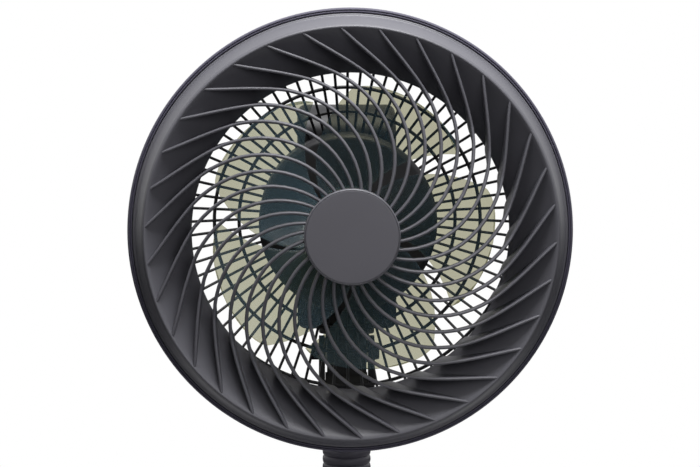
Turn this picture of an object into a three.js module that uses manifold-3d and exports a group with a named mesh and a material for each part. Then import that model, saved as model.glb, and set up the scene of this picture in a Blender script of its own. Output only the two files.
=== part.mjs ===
// Air circulator fan on a desk stand. Millimetres, +Z up, the grille faces -Y.
// The origin lies on the table, under the middle of the whole object.

import * as THREE from 'three';
import { mergeVertices } from 'three/addons/utils/BufferGeometryUtils.js';
import Module from 'manifold-3d';

const wasm = await Module();
wasm.setup();

// ---------------------------------------------------------------- driving dimensions

const CLEARANCE = 0.3; // gap left between two pieces that touch
const WALL = 2.5; // moulded plastic wall

// Facets round a turned piece
const WIDE = 32;
const MIDDLE = 24;
const SMALL = 16;
const FINE_PIN = 10;

// Stand
const BASE_RADIUS = 130;
const BASE_EDGE_TOP = 14;
const BASE_HEIGHT = 33;
const BASE_PLATE_THICKNESS = 2;
const FOOT_RADIUS = 9;
const FOOT_HEIGHT = 3;
const FOOT_INSET = 24;
const WEIGHT_RADIUS = 62;
const WEIGHT_THICKNESS = 13;
const NECK_SETBACK = 20; // neck axis behind the middle of the base
const NECK_PAD_RADIUS = 39;
const NECK_PAD_HEIGHT = 3;
const NECK_PAD_DEPTH = 8;
const STEM_RADIUS = 17;
const NUT_RADIUS = 25;
const NUT_THICKNESS = 6;
const SLEEVE_RIB_RADIUS = 21.2;
const SLEEVE_GROOVE_RADIUS = 20;
const SLEEVE_FOOT_RADIUS = 36;
const SLEEVE_TOP = 134;
const RIB_PITCH = 7;
const RIB_COUNT = 6;

// Speed knob on the front of the base, with the switch below it
const KNOB_INSET = 44; // its middle from the edge of the base
const KNOB_RADIUS = 18;
const KNOB_HEIGHT = 13;
const KNOB_STEM_RADIUS = 3;
const KNOB_PAD_RADIUS = 23;
const KNOB_PAD_TOP = 31;
const KNOB_PAD_THICKNESS = 9;
const SWITCH_WIDTH = 24;
const SWITCH_HEIGHT = 11;
const CAPACITOR_SIZE = [16, 36, 15];
const CAPACITOR_INSET = 44;
const GLAND_RADIUS = 3.4;
const GLAND_BORE = 2;
const GLAND_LENGTH = 12;

// Tilt fork and bracket
const HEAD_HEIGHT = 330; // axis of the blade above the table
const TILT_DROP = 118; // tilt bolt below that axis
const FORK_HALF_WIDTH = 24.3;
const FORK_HALF_DEPTH = 14;
const CHEEK_THICKNESS = 5.2;
const WASHER_THICKNESS = 1.4;
const WASHER_RADIUS = 10;
const BOLT_RADIUS = 4;
const BOLT_HEAD_RADIUS = 8;
const BOLT_HEAD_THICKNESS = 4;
const TONGUE_DROP = 24;
const TONGUE_HALF_DEPTH = 12;
const FORK_FLOOR_DROP = 27.5;
const FORK_SHOULDER = 16;
const FORK_FLARE = 18;

// Swing pivot and its crank drive
const PIVOT_SETBACK = 15.7; // swing axis behind the mouth of the rear cover
const TURNTABLE_RADIUS = 19;
const TURNTABLE_THICKNESS = 5.7;
const PIVOT_RADIUS = 6;
const PIVOT_SINK = 13;
const THRUST_RADIUS = 10.5;
const THRUST_THICKNESS = 1.5;
const PIVOT_BUSH_WALL = 1.6;
const SWING_BOSS_RADIUS = 11;
const SWING_BOSS_HEIGHT = 11;
const CLIP_THICKNESS = 1.4;
const CLIP_GROOVE_RADIUS = 4.5;
const PIVOT_HEAD = 1;
const CRANK_DISTANCE = 30;
const CRANK_THROW = 9;
const CRANK_RADIUS = 13;
const CRANK_PIN_RADIUS = 2.2;
const CRANK_SHAFT_RADIUS = 2.5;
const CRANK_SHAFT_LENGTH = 6;
const CRANK_THICKNESS = 3;
const LINK_POST_DISTANCE = 14;
const LINK_POST_RADIUS = 2.4;
const LINK_WIDTH = 8;
const LINK_THICKNESS = 3;
const LINK_LIFT = 1; // link above the head of the pivot pin
const OPEN_PIVOT_GAP = 0.5; // crank pin above the link, which it would enter
const SWING_MOTOR_RADIUS = 18;
const SWING_MOTOR_HEIGHT = 15;

// Head: every depth is measured forward (+) or backward (-) from the plane of the rim
const HUB_RADIUS = 38;
const HUB_FORWARD = 57;
const HUB_DEPTH = 15;
const HUB_CHAMFER = 0.7;
const BADGE_THICKNESS = 2.6;
const BADGE_BORDER = 1.7;
const THROAT_RADIUS = 128;
const THROAT_FORWARD = 2;
const FUNNEL_WIDTH = 35.8; // from the throat out to the lip
const LIP_FORWARD = 33;
const LIP_WIDTH = 2.7;
const LIP_CHAMFER = 1.3;
const BEZEL_FLARE = 8.5; // from the lip back and out to the flange
const FLANGE_WIDTH = 2;
const FLANGE_THICKNESS = 1.85;
const BAND_WALL = 2.7;
const BAND_LIP = 2;
const BAND_CHAMFER = 1.2;
const BAND_GAP = 0.4; // the band's mouth stands this clear of the bezel

const FIN_COUNT = 34;
const FIN_PHASE = -58.5; // degrees, where the first fin leaves the hub
const SPOKE_SWEEP = 47.5; // degrees turned from the hub to the throat
const FIN_SWEEP = 19.3; // degrees turned from the throat to the lip
const FIN_CREST_WIDTH = 2.4;
const FIN_ROOT_WIDTH = 3;
const FIN_ROWS = 3; // facets along a fin
const SPOKE_ROWS = 3;
const SPOKE_DEPTH = 4;
const SPOKE_HUB_DROP = 5; // front edge of a spoke behind the hub face
const FIN_FORWARD = 34;
const WEB_LENGTH = 7; // a fin narrows to a spoke over this length inside the throat

const GUARD_RIB_COUNT = 72;
const GUARD_RIB_WIDTH = 1.6;
const GUARD_THICKNESS = 3;
const GUARD_RING_WIDTH = 3;
const GUARD_FLANGE_WIDTH = 4.5;
const GUARD_DEPTH = 131;
const GUARD_SEAT_WIDTH = 8;
// Places along a rib: share of the way out from the seat to the flange, share of the depth,
// and for a ring how far it leans outward
const GUARD_SIDE = { out: 0.912, deep: 0.366 };
const GUARD_RINGS = [
  { out: 0.663, deep: 0.748, lean: 0.6 },
  { out: 0.39, deep: 0.87, lean: 0.9 },
  { out: 0.176, deep: 0.962, lean: 0.9 },
];

const BLADE_COUNT = 5;
const BLADE_TIP_GAP = 9.3; // blade tip to throat
const BLADE_TIP_DROP = 11; // the leading corner of the tip lies this much further in
const BLADE_TIP_ROUNDING = 0.06;
const BLADE_THICKNESS = 2;
const BLADE_FORWARD = 3;
const BLADE_DEPTH = 45;
const BLADE_CAMBER = 4;
const BLADE_ROOT_ANGLES = [65, 132];
const BLADE_TIP_ANGLES = [34, 90];
const SPINNER_RADIUS = 34;
const SPINNER_FACE = 7.5; // in front of the blades
const SPINNER_BORDER = 6;
const SPINNER_SHOULDER = 7;
const SPINNER_SKIRT = 4; // behind the blades
const SPINNER_BOSS_DROP = 12; // its boss ends this far inside the skirt
const BLADE_NUT_RADIUS = 9;
const BLADE_NUT_LENGTH = 14;

const MOTOR_CUP_RADIUS = 75.7;
const MOTOR_CUP_DEPTH = 83;
const MOTOR_CUP_CHAMFER = 3.5;
const MOTOR_NECK_RADIUS = 22;
const MOTOR_NECK_LENGTH = 24;
const STATOR_WIDTH = 80;
const STATOR_LENGTH = 26;
const STATOR_CORNER = 14;
const STATOR_FRONT = 97;
const ROTOR_RADIUS = 22;
const AIR_GAP = 0.6;
const WINDING_OUTER_RADIUS = 34;
const WINDING_INNER_RADIUS = 25;
const WINDING_LENGTH = 7;
const SHAFT_RADIUS = 4;
const BUSH_RADIUS = 8;
const BUSH_LENGTH = 8;
const BRACKET_RADIUS = 40;
const BRACKET_RIM = 4;
const DRIVE_PIN_RADIUS = 1.5;
const DRIVE_PIN_LENGTH = 18;

const COVER_WIDTH = 86;
const COVER_TOP = 98;
const COVER_DEPTH = 70;
const COVER_EDGE = 8;
const COVER_SLOPE = 27; // fall of its top towards the guard
const CARRIER_THICKNESS = 2;
const CARRIER_WIDTH = 30;
const CARRIER_FOOT_WIDTH = 14;
const CARRIER_FOOT_THICKNESS = 4;
const CARRIER_TOP = 12; // below the blade axis
const COVER_DRUM_RADIUS = 74;
const COVER_DRUM_DEPTH = 22;
const COVER_DRUM_EDGE = 5;
const COVER_MOUTH_RADIUS = 18;
const VENT_COUNT = 6;
const VENT_WIDTH = 44;
const VENT_HEIGHT = 3;
const VENT_PITCH = 9;

// ---------------------------------------------------------------- worked-out places

const GUARD_BACK = GUARD_DEPTH + GUARD_THICKNESS;
const COVER_FRONT = GUARD_BACK + CLEARANCE;
const PIVOT_DEPTH = COVER_FRONT + PIVOT_SETBACK; // swing axis behind the rim of the head
const BASE_Y = (PIVOT_DEPTH + HUB_FORWARD - NECK_SETBACK - BASE_RADIUS) / 2;
const NECK_Y = BASE_Y + NECK_SETBACK;
const KNOB_DISTANCE = BASE_RADIUS - KNOB_INSET;
const CAPACITOR_PLACE = BASE_RADIUS - CAPACITOR_INSET;
const FOOT_CIRCLE = BASE_RADIUS - FOOT_INSET;
const LIP_RADIUS = THROAT_RADIUS + FUNNEL_WIDTH;
const LIP_OUTER_RADIUS = LIP_RADIUS + LIP_WIDTH;
const BEZEL_RADIUS = LIP_OUTER_RADIUS + BEZEL_FLARE;
const FLANGE_RADIUS = BEZEL_RADIUS + FLANGE_WIDTH;
const CHANNEL_RADIUS = FLANGE_RADIUS + CLEARANCE;
const RIM_RADIUS = CHANNEL_RADIUS + BAND_WALL;
const GUARD_SEAT_RADIUS = MOTOR_CUP_RADIUS + CLEARANCE;
const BLADE_TIP_RADIUS = THROAT_RADIUS - BLADE_TIP_GAP;
const PLATE_TOP = FOOT_HEIGHT + BASE_PLATE_THICKNESS;
const GLAND_HEIGHT = PLATE_TOP + CLEARANCE + GLAND_RADIUS;
const NECK_SEAT = BASE_HEIGHT + NECK_PAD_HEIGHT;
const NUT_TOP = NECK_SEAT - NECK_PAD_HEIGHT - NECK_PAD_DEPTH - CLEARANCE;
const SWITCH_TOP = KNOB_PAD_TOP - KNOB_PAD_THICKNESS - CLEARANCE;
const KNOB_STEM_END = SWITCH_TOP - 5;

const TILT_HEIGHT = HEAD_HEIGHT - TILT_DROP;
const FORK_FLOOR = TILT_HEIGHT - FORK_FLOOR_DROP;
const BOLT_HOLE_RADIUS = BOLT_RADIUS + CLEARANCE;
const TONGUE_HALF_WIDTH = FORK_HALF_WIDTH - CHEEK_THICKNESS - WASHER_THICKNESS - 2 * CLEARANCE;
const TURNTABLE_BOTTOM = TILT_HEIGHT + FORK_HALF_DEPTH + 2;
const TURNTABLE_TOP = TURNTABLE_BOTTOM + TURNTABLE_THICKNESS;

const PIVOT_HOLE_RADIUS = PIVOT_RADIUS + CLEARANCE;
const BOSS_BOTTOM = TURNTABLE_TOP + THRUST_THICKNESS + 2 * CLEARANCE;
const BOSS_TOP = BOSS_BOTTOM + SWING_BOSS_HEIGHT;
const PIVOT_TOP = BOSS_TOP + CLIP_THICKNESS + 2 * CLEARANCE + PIVOT_HEAD;
const LINK_BOTTOM = PIVOT_TOP + LINK_LIFT;
const LINK_TOP = LINK_BOTTOM + LINK_THICKNESS;
const POST_TOP = LINK_TOP + 1;
const CRANK_BOTTOM = POST_TOP + 2;
const CRANK_TOP = CRANK_BOTTOM + CRANK_THICKNESS;
const SWING_MOTOR_BOTTOM = CRANK_TOP + CLEARANCE;
const SWING_MOTOR_TOP = SWING_MOTOR_BOTTOM + SWING_MOTOR_HEIGHT;

const JOINT_GAP = CLEARANCE / 2; // each guard's flange to the plane of the rim
const BADGE_BACK = HUB_FORWARD - BADGE_THICKNESS;
const BADGE_RADIUS = HUB_RADIUS - BADGE_BORDER;
const CUP_BACK = GUARD_DEPTH - CLEARANCE;
const CUP_INNER_DEPTH = MOTOR_CUP_DEPTH + WALL;
const STATOR_BACK = STATOR_FRONT + STATOR_LENGTH;
const BRACKET_FRONT = CUP_INNER_DEPTH + CLEARANCE;
const BRACKET_BACK = STATOR_BACK + STATOR_FRONT - BRACKET_FRONT;
const SHAFT_HOLE_RADIUS = SHAFT_RADIUS + CLEARANCE;
const SPINNER_FRONT = BLADE_FORWARD + SPINNER_FACE;
const SPINNER_BACK = BLADE_DEPTH - BLADE_FORWARD + SPINNER_SKIRT;
const SPINNER_BOSS_END = SPINNER_BACK - SPINNER_BOSS_DROP;
const PIN_DEPTH = SPINNER_BOSS_END - DRIVE_PIN_RADIUS - CLEARANCE;
const CARRIER_FRONT = BRACKET_BACK + CLEARANCE;

// ---------------------------------------------------------------- geometry helpers

// Shares vertices, drops flat triangles and turns every face outward.
function closed(geometry) {
  geometry.deleteAttribute('normal');
  geometry.deleteAttribute('uv');
  const merged = mergeVertices(geometry, 1e-4);
  const position = merged.getAttribute('position');
  const corners = [0, 1, 2].map(() => new THREE.Vector3());
  const kept = [];
  let volume = 0;
  for (let i = 0; i < merged.index.count; i += 3) {
    const face = [0, 1, 2].map((k) => merged.index.getX(i + k));
    if (new Set(face).size < 3) continue;
    corners.forEach((corner, k) => corner.fromBufferAttribute(position, face[k]));
    volume += corners[0].dot(corners[1].clone().cross(corners[2]));
    kept.push(...face);
  }
  if (volume < 0) kept.reverse();
  merged.setIndex(kept);
  return merged;
}

function solid(geometry) {
  const body = closed(geometry);
  const vertProperties = new Float32Array(body.getAttribute('position').array);
  const triVerts = new Uint32Array(body.index.array);
  return new wasm.Manifold(new wasm.Mesh({ numProp: 3, vertProperties, triVerts }));
}

function geometryOf(manifold) {
  const mesh = manifold.getMesh();
  const geometry = new THREE.BufferGeometry();
  geometry.setAttribute('position', new THREE.BufferAttribute(mesh.vertProperties, 3));
  geometry.setIndex(new THREE.BufferAttribute(mesh.triVerts, 1));
  return geometry;
}

function join(first, ...others) {
  return geometryOf(others.reduce((sum, other) => sum.add(solid(other)), solid(first)));
}

function cut(body, ...tools) {
  return geometryOf(tools.reduce((rest, tool) => rest.subtract(solid(tool)), solid(body)));
}

function common(first, second) {
  return geometryOf(solid(first).intersect(solid(second)));
}

// Revolves [radius, height] points about Z.
function revolve(points, segments, phase = 0) {
  const profile = points.map(([radius, height]) => new THREE.Vector2(radius, height));
  const geometry = new THREE.LatheGeometry(profile, segments);
  geometry.rotateX(Math.PI / 2);
  geometry.rotateZ(phase);
  return closed(geometry);
}

function ring(outerRadius, innerRadius, bottom, top, segments = SMALL) {
  return revolve([
    [innerRadius, bottom], [outerRadius, bottom], [outerRadius, top], [innerRadius, top],
    [innerRadius, bottom],
  ], segments);
}

function rod(radius, bottom, top, segments = SMALL) {
  return revolve([[0, bottom], [radius, bottom], [radius, top], [0, top]], segments);
}

function hexNut(radius, boreRadius, bottom, top) {
  return cut(rod(radius, bottom, top, 6), rod(boreRadius, bottom - 1, top + 1, MIDDLE));
}

function box(width, depth, height, x, y, z) {
  return new THREE.BoxGeometry(width, depth, height).translate(x, y, z);
}

function roundedRectangle(width, height, radius) {
  const x = width / 2 - radius;
  const y = height / 2 - radius;
  const shape = new THREE.Shape();
  shape.absarc(x, -y, radius, -Math.PI / 2, 0);
  shape.absarc(x, y, radius, 0, Math.PI / 2);
  shape.absarc(-x, y, radius, Math.PI / 2, Math.PI);
  shape.absarc(-x, -y, radius, Math.PI, 1.5 * Math.PI);
  shape.closePath();
  return shape;
}

function extrude(shape, depth, curveSegments = 4) {
  return new THREE.ExtrudeGeometry(shape, { depth, bevelEnabled: false, curveSegments });
}

// Extrudes an outline drawn in Y (across) and Z (up) to both sides of the X = 0 plane.
function extrudeAcross(shape, width, curveSegments) {
  const geometry = extrude(shape, width, curveSegments);
  geometry.rotateX(Math.PI / 2).rotateZ(Math.PI / 2);
  return geometry.translate(-width / 2, 0, 0);
}

function steps(from, to, count) {
  return Array.from({ length: count + 1 }, (_, i) => from + ((to - from) * i) / count);
}

function copiesAround(count, make) {
  return Array.from({ length: count }, (_, i) => make((i * 2 * Math.PI) / count));
}

// Builds an indexed geometry from corner points and faces of three or four corners.
function faceted(points, faces) {
  const geometry = new THREE.BufferGeometry();
  const index = faces.flatMap(([a, b, c, d]) => (d === undefined ? [a, b, c] : [a, b, c, a, c, d]));
  geometry.setAttribute('position', new THREE.Float32BufferAttribute(points.flat(), 3));
  geometry.setIndex(index);
  return closed(geometry);
}

// ---------------------------------------------------------------- materials

function finish(color, roughness, metalness = 0) {
  return () => new THREE.MeshStandardMaterial({ color, roughness, metalness });
}

const guardPlastic = finish(0x57565d, 0.5);
const rimPlastic = finish(0x2f2d3c, 0.35);
const badgePlastic = finish(0x5f5e66, 0.45);
const blackPlastic = finish(0x17171b, 0.5);
const standPlastic = finish(0x34323f, 0.45);
const bladePlastic = finish(0xc8c596, 0.3);
const rubber = finish(0x1b1b1d, 0.9);
const castIron = finish(0x3c3c3e, 0.8, 0.6);
const steel = finish(0x9a9ca0, 0.35, 1);
const bronze = finish(0x8c6a3c, 0.45, 1);
const copper = finish(0xa55b33, 0.4, 0.8);
const zincSheet = finish(0xa7abb0, 0.4, 1);

const fan = new THREE.Group();

function addPiece(parent, name, geometry, material) {
  geometry.computeVertexNormals();
  const mesh = new THREE.Mesh(geometry, material());
  mesh.name = name;
  parent.add(mesh);
  return mesh;
}

// ---------------------------------------------------------------- base

const base = new THREE.Group();
base.position.set(0, BASE_Y, 0);
fan.add(base);

// Outline of the domed base from its bottom edge to its middle, moved inward by inset.
function baseOutline(inset, count) {
  const radius = BASE_RADIUS - inset;
  const rise = BASE_HEIGHT - BASE_EDGE_TOP;
  const dome = steps(0, Math.PI / 2, count).map((angle) => [
    radius * Math.cos(angle) ** 0.8,
    BASE_EDGE_TOP - inset + rise * Math.sin(angle) ** 1.3,
  ]);
  dome[dome.length - 1] = [0, BASE_HEIGHT - inset];
  return [[0, FOOT_HEIGHT], [radius, FOOT_HEIGHT], ...dome];
}

function baseShell() {
  const hollow = cut(
    revolve(baseOutline(0, 4), WIDE),
    revolve(baseOutline(WALL, 3), WIDE),
    rod(BASE_RADIUS - WALL, 0, FOOT_HEIGHT + 1, WIDE),
  );
  const neckPad = rod(NECK_PAD_RADIUS, NUT_TOP + CLEARANCE, NECK_SEAT, MIDDLE);
  const knobPad = rod(KNOB_PAD_RADIUS, SWITCH_TOP + CLEARANCE, KNOB_PAD_TOP, MIDDLE);
  const padded = join(
    hollow,
    neckPad.translate(0, NECK_SETBACK, 0),
    knobPad.translate(0, -KNOB_DISTANCE, 0),
  );
  const neckHole = rod(STEM_RADIUS + CLEARANCE, 0, NECK_SEAT + 1, MIDDLE);
  const knobHole = rod(KNOB_STEM_RADIUS + CLEARANCE, 0, KNOB_PAD_TOP + 1, FINE_PIN);
  const glandHole = rod(GLAND_RADIUS + CLEARANCE, 0, 2 * GLAND_LENGTH, FINE_PIN);
  glandHole.rotateX(-Math.PI / 2);
  return cut(
    padded,
    neckHole.translate(0, NECK_SETBACK, 0),
    knobHole.translate(0, -KNOB_DISTANCE, 0),
    glandHole.translate(0, BASE_RADIUS - GLAND_LENGTH, GLAND_HEIGHT),
  );
}

function speedKnob() {
  const bottom = KNOB_PAD_TOP + CLEARANCE;
  const top = KNOB_PAD_TOP + KNOB_HEIGHT;
  const skirt = revolve([
    [0, bottom], [KNOB_RADIUS, bottom], [KNOB_RADIUS - 1.5, top - 1.5], [KNOB_RADIUS - 3, top],
    [0, top],
  ], MIDDLE);
  const flutes = copiesAround(8, (angle) => rod(2, bottom + 3, top + 1, 6)
    .translate(KNOB_RADIUS * Math.cos(angle), KNOB_RADIUS * Math.sin(angle), 0));
  return join(cut(skirt, ...flutes), rod(KNOB_STEM_RADIUS, KNOB_STEM_END, bottom + 1, FINE_PIN));
}

function rotarySwitch() {
  const body = box(
    SWITCH_WIDTH, SWITCH_WIDTH, SWITCH_HEIGHT, 0, 0, SWITCH_TOP - SWITCH_HEIGHT / 2,
  );
  const bore = rod(
    KNOB_STEM_RADIUS + CLEARANCE, KNOB_STEM_END - CLEARANCE, SWITCH_TOP + 1, FINE_PIN,
  );
  return cut(body, bore);
}

function addBase() {
  const plateRadius = BASE_RADIUS - WALL - CLEARANCE;
  const weightBottom = PLATE_TOP + CLEARANCE;
  addPiece(base, 'base_shell', baseShell(), standPlastic);
  addPiece(base, 'base_plate', rod(plateRadius, FOOT_HEIGHT, PLATE_TOP, WIDE), blackPlastic);
  addPiece(
    base, 'base_weight',
    rod(WEIGHT_RADIUS, weightBottom, weightBottom + WEIGHT_THICKNESS, MIDDLE), castIron,
  );
  copiesAround(4, (angle) => angle + Math.PI / 4).forEach((angle, i) => {
    const top = FOOT_HEIGHT - CLEARANCE;
    const foot = revolve([
      [0, 0], [FOOT_RADIUS - 1, 0], [FOOT_RADIUS, 1], [FOOT_RADIUS, top], [0, top],
    ], FINE_PIN);
    const mesh = addPiece(base, `foot_${i + 1}`, foot, rubber);
    mesh.position.set(FOOT_CIRCLE * Math.cos(angle), FOOT_CIRCLE * Math.sin(angle), 0);
  });
  const knob = addPiece(base, 'speed_knob', speedKnob(), badgePlastic);
  knob.position.y = -KNOB_DISTANCE;
  const dial = addPiece(base, 'rotary_switch', rotarySwitch(), blackPlastic);
  dial.position.y = -KNOB_DISTANCE;
  const [width, length, height] = CAPACITOR_SIZE;
  const capacitor = closed(extrude(roundedRectangle(width, length, 2), height, 2));
  addPiece(base, 'run_capacitor', capacitor, blackPlastic)
    .position.set(CAPACITOR_PLACE, 0, PLATE_TOP + CLEARANCE);
  const gland = ring(GLAND_RADIUS, GLAND_BORE, 0, GLAND_LENGTH - 1, FINE_PIN);
  const glandMesh = addPiece(base, 'cord_gland', gland, rubber);
  glandMesh.rotation.x = -Math.PI / 2;
  glandMesh.position.set(0, BASE_RADIUS - GLAND_LENGTH, GLAND_HEIGHT);
}

addBase();

// ---------------------------------------------------------------- neck and tilt

const neck = new THREE.Group();
neck.position.set(0, NECK_Y, 0);
fan.add(neck);

// A rod along X, from one place on that axis to another.
function crossRod(radius, from, to) {
  return rod(radius, from, to).rotateY(Math.PI / 2).translate(0, 0, TILT_HEIGHT);
}

function forkFront() {
  const root = FORK_FLOOR - FORK_SHOULDER - FORK_FLARE;
  const shoulder = FORK_FLOOR - FORK_SHOULDER;
  const top = TILT_HEIGHT + FORK_HALF_DEPTH;
  const inner = FORK_HALF_WIDTH - CHEEK_THICKNESS;
  const narrow = STEM_RADIUS * 0.6;
  const shape = new THREE.Shape();
  shape.moveTo(-narrow, root);
  shape.lineTo(narrow, root);
  shape.bezierCurveTo(
    narrow, root + FORK_FLARE / 2,
    FORK_HALF_WIDTH, root + FORK_FLARE / 2,
    FORK_HALF_WIDTH, shoulder,
  );
  shape.lineTo(FORK_HALF_WIDTH, top);
  shape.lineTo(inner, top);
  shape.lineTo(inner, FORK_FLOOR);
  shape.lineTo(-inner, FORK_FLOOR);
  shape.lineTo(-inner, top);
  shape.lineTo(-FORK_HALF_WIDTH, top);
  shape.lineTo(-FORK_HALF_WIDTH, shoulder);
  shape.bezierCurveTo(
    -FORK_HALF_WIDTH, root + FORK_FLARE / 2,
    -narrow, root + FORK_FLARE / 2,
    -narrow, root,
  );
  const geometry = extrude(shape, 4 * FORK_HALF_DEPTH, 4).rotateX(Math.PI / 2);
  return geometry.translate(0, 2 * FORK_HALF_DEPTH, 0);
}

function forkSide() {
  const root = FORK_FLOOR - FORK_SHOULDER - FORK_FLARE - 1;
  const shape = new THREE.Shape();
  shape.moveTo(-FORK_HALF_DEPTH * 0.6, root);
  shape.lineTo(FORK_HALF_DEPTH * 0.6, root);
  shape.lineTo(FORK_HALF_DEPTH, root + FORK_FLARE);
  shape.absarc(0, TILT_HEIGHT, FORK_HALF_DEPTH, 0, Math.PI);
  shape.lineTo(-FORK_HALF_DEPTH, root + FORK_FLARE);
  shape.closePath();
  return extrudeAcross(shape, 3 * FORK_HALF_WIDTH, 5);
}

function neckColumn() {
  const stem = rod(STEM_RADIUS, NUT_TOP - NUT_THICKNESS, FORK_FLOOR - FORK_SHOULDER, MIDDLE);
  const fork = common(forkFront(), forkSide());
  const bore = crossRod(BOLT_HOLE_RADIUS, -2 * FORK_HALF_WIDTH, 2 * FORK_HALF_WIDTH);
  return cut(join(stem, fork), bore);
}

// A flared foot that rests on the base, with rounded ribs one above another at its top.
function neckSleeve() {
  const bottom = NECK_SEAT + CLEARANCE;
  const ribsStart = SLEEVE_TOP - RIB_COUNT * RIB_PITCH;
  const flare = steps(0, 1, 3).map((t) => [
    SLEEVE_GROOVE_RADIUS + (SLEEVE_FOOT_RADIUS - SLEEVE_GROOVE_RADIUS) * (1 - t) ** 3,
    bottom + (ribsStart - bottom) * t,
  ]);
  const ribs = steps(0, RIB_COUNT - 1, RIB_COUNT - 1).flatMap((i) => [
    [SLEEVE_RIB_RADIUS, ribsStart + (i + 0.5) * RIB_PITCH],
    [SLEEVE_GROOVE_RADIUS, ribsStart + (i + 1) * RIB_PITCH],
  ]);
  const bore = STEM_RADIUS + CLEARANCE;
  const outline = [[bore, bottom], ...flare, ...ribs, [bore, SLEEVE_TOP], [bore, bottom]];
  return revolve(outline, MIDDLE);
}

function tiltBracket() {
  const spread = Math.asin(TONGUE_HALF_DEPTH / TONGUE_DROP);
  const side = new THREE.Shape();
  side.absarc(0, TILT_HEIGHT, TONGUE_DROP, -Math.PI / 2 - spread, -Math.PI / 2 + spread);
  side.lineTo(TONGUE_HALF_DEPTH, TURNTABLE_BOTTOM + 1);
  side.lineTo(-TONGUE_HALF_DEPTH, TURNTABLE_BOTTOM + 1);
  side.closePath();
  const tongue = extrudeAcross(side, 2 * TONGUE_HALF_WIDTH, 4);
  const table = rod(TURNTABLE_RADIUS, TURNTABLE_BOTTOM, TURNTABLE_TOP, MIDDLE);
  const post = rod(LINK_POST_RADIUS, TURNTABLE_TOP - 1, POST_TOP, FINE_PIN);
  return cut(
    join(tongue, table, post.translate(LINK_POST_DISTANCE, 0, 0)),
    rod(PIVOT_HOLE_RADIUS, TURNTABLE_TOP - PIVOT_SINK, TURNTABLE_TOP + 1),
    crossRod(BOLT_HOLE_RADIUS, -FORK_HALF_WIDTH, FORK_HALF_WIDTH),
  );
}

function tiltBolt() {
  const start = FORK_HALF_WIDTH + CLEARANCE;
  const profile = [
    [0, -start - NUT_THICKNESS], [BOLT_RADIUS, -start - NUT_THICKNESS], [BOLT_RADIUS, start],
    [BOLT_HEAD_RADIUS, start], [BOLT_HEAD_RADIUS - 1, start + BOLT_HEAD_THICKNESS],
    [0, start + BOLT_HEAD_THICKNESS],
  ];
  return revolve(profile, SMALL).rotateY(Math.PI / 2);
}

function pivotPin() {
  const bottom = TURNTABLE_TOP - PIVOT_SINK + CLEARANCE;
  const grooveTop = PIVOT_TOP - PIVOT_HEAD;
  return revolve([
    [0, bottom], [PIVOT_RADIUS, bottom], [PIVOT_RADIUS, BOSS_TOP], [CLIP_GROOVE_RADIUS, BOSS_TOP],
    [CLIP_GROOVE_RADIUS, grooveTop], [PIVOT_RADIUS, grooveTop], [PIVOT_RADIUS, PIVOT_TOP],
    [0, PIVOT_TOP],
  ], SMALL);
}

function addNeck() {
  addPiece(neck, 'neck_column', neckColumn(), standPlastic);
  addPiece(neck, 'neck_sleeve', neckSleeve(), standPlastic);
  const nut = hexNut(NUT_RADIUS, STEM_RADIUS + CLEARANCE, NUT_TOP - NUT_THICKNESS, NUT_TOP);
  addPiece(neck, 'neck_nut', nut, steel);
  addPiece(neck, 'tilt_bracket', tiltBracket(), blackPlastic);
  addPiece(neck, 'tilt_bolt', tiltBolt(), steel).position.z = TILT_HEIGHT;
  const nutStart = -FORK_HALF_WIDTH - CLEARANCE;
  const tiltNut = hexNut(BOLT_HEAD_RADIUS, BOLT_HOLE_RADIUS, nutStart - NUT_THICKNESS, nutStart);
  addPiece(neck, 'tilt_nut', tiltNut.rotateY(Math.PI / 2), steel).position.z = TILT_HEIGHT;
  [['left', -1], ['right', 1]].forEach(([name, side]) => {
    const washer = ring(WASHER_RADIUS, BOLT_HOLE_RADIUS, 0, WASHER_THICKNESS);
    const mesh = addPiece(neck, `tilt_washer_${name}`, washer, zincSheet);
    mesh.rotation.y = (side * Math.PI) / 2;
    mesh.position.set(side * (TONGUE_HALF_WIDTH + CLEARANCE), 0, TILT_HEIGHT);
  });
  addPiece(neck, 'pivot_pin', pivotPin(), steel);
  const thrustBottom = TURNTABLE_TOP + CLEARANCE;
  const thrust = ring(
    THRUST_RADIUS, PIVOT_HOLE_RADIUS, thrustBottom, thrustBottom + THRUST_THICKNESS,
  );
  addPiece(neck, 'thrust_washer', thrust, bronze);
}

addNeck();

// ---------------------------------------------------------------- swing drive

const swing = new THREE.Group();
swing.position.set(0, NECK_Y, 0);
fan.add(swing);

// At rest the crank pin stands square to the line from the post to the crank's middle.
const linkAngle = Math.atan2(CRANK_DISTANCE, -LINK_POST_DISTANCE);
const crankPin = new THREE.Vector2(
  CRANK_THROW * Math.sin(linkAngle),
  CRANK_DISTANCE - CRANK_THROW * Math.cos(linkAngle),
);
const linkPost = new THREE.Vector2(LINK_POST_DISTANCE, 0);

function swingLink() {
  const length = crankPin.distanceTo(linkPost);
  const radius = LINK_WIDTH / 2;
  const bar = new THREE.Shape();
  bar.absarc(0, 0, radius, Math.PI / 2, 1.5 * Math.PI);
  bar.absarc(length, 0, radius, -Math.PI / 2, Math.PI / 2);
  bar.closePath();
  const holes = [[0, LINK_POST_RADIUS], [length, CRANK_PIN_RADIUS]];
  holes.forEach(([x, pinRadius]) => {
    const hole = new THREE.Path();
    hole.absarc(x, 0, pinRadius + CLEARANCE, 0, 2 * Math.PI);
    bar.holes.push(hole);
  });
  return closed(extrude(bar, LINK_THICKNESS, 5));
}

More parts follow.
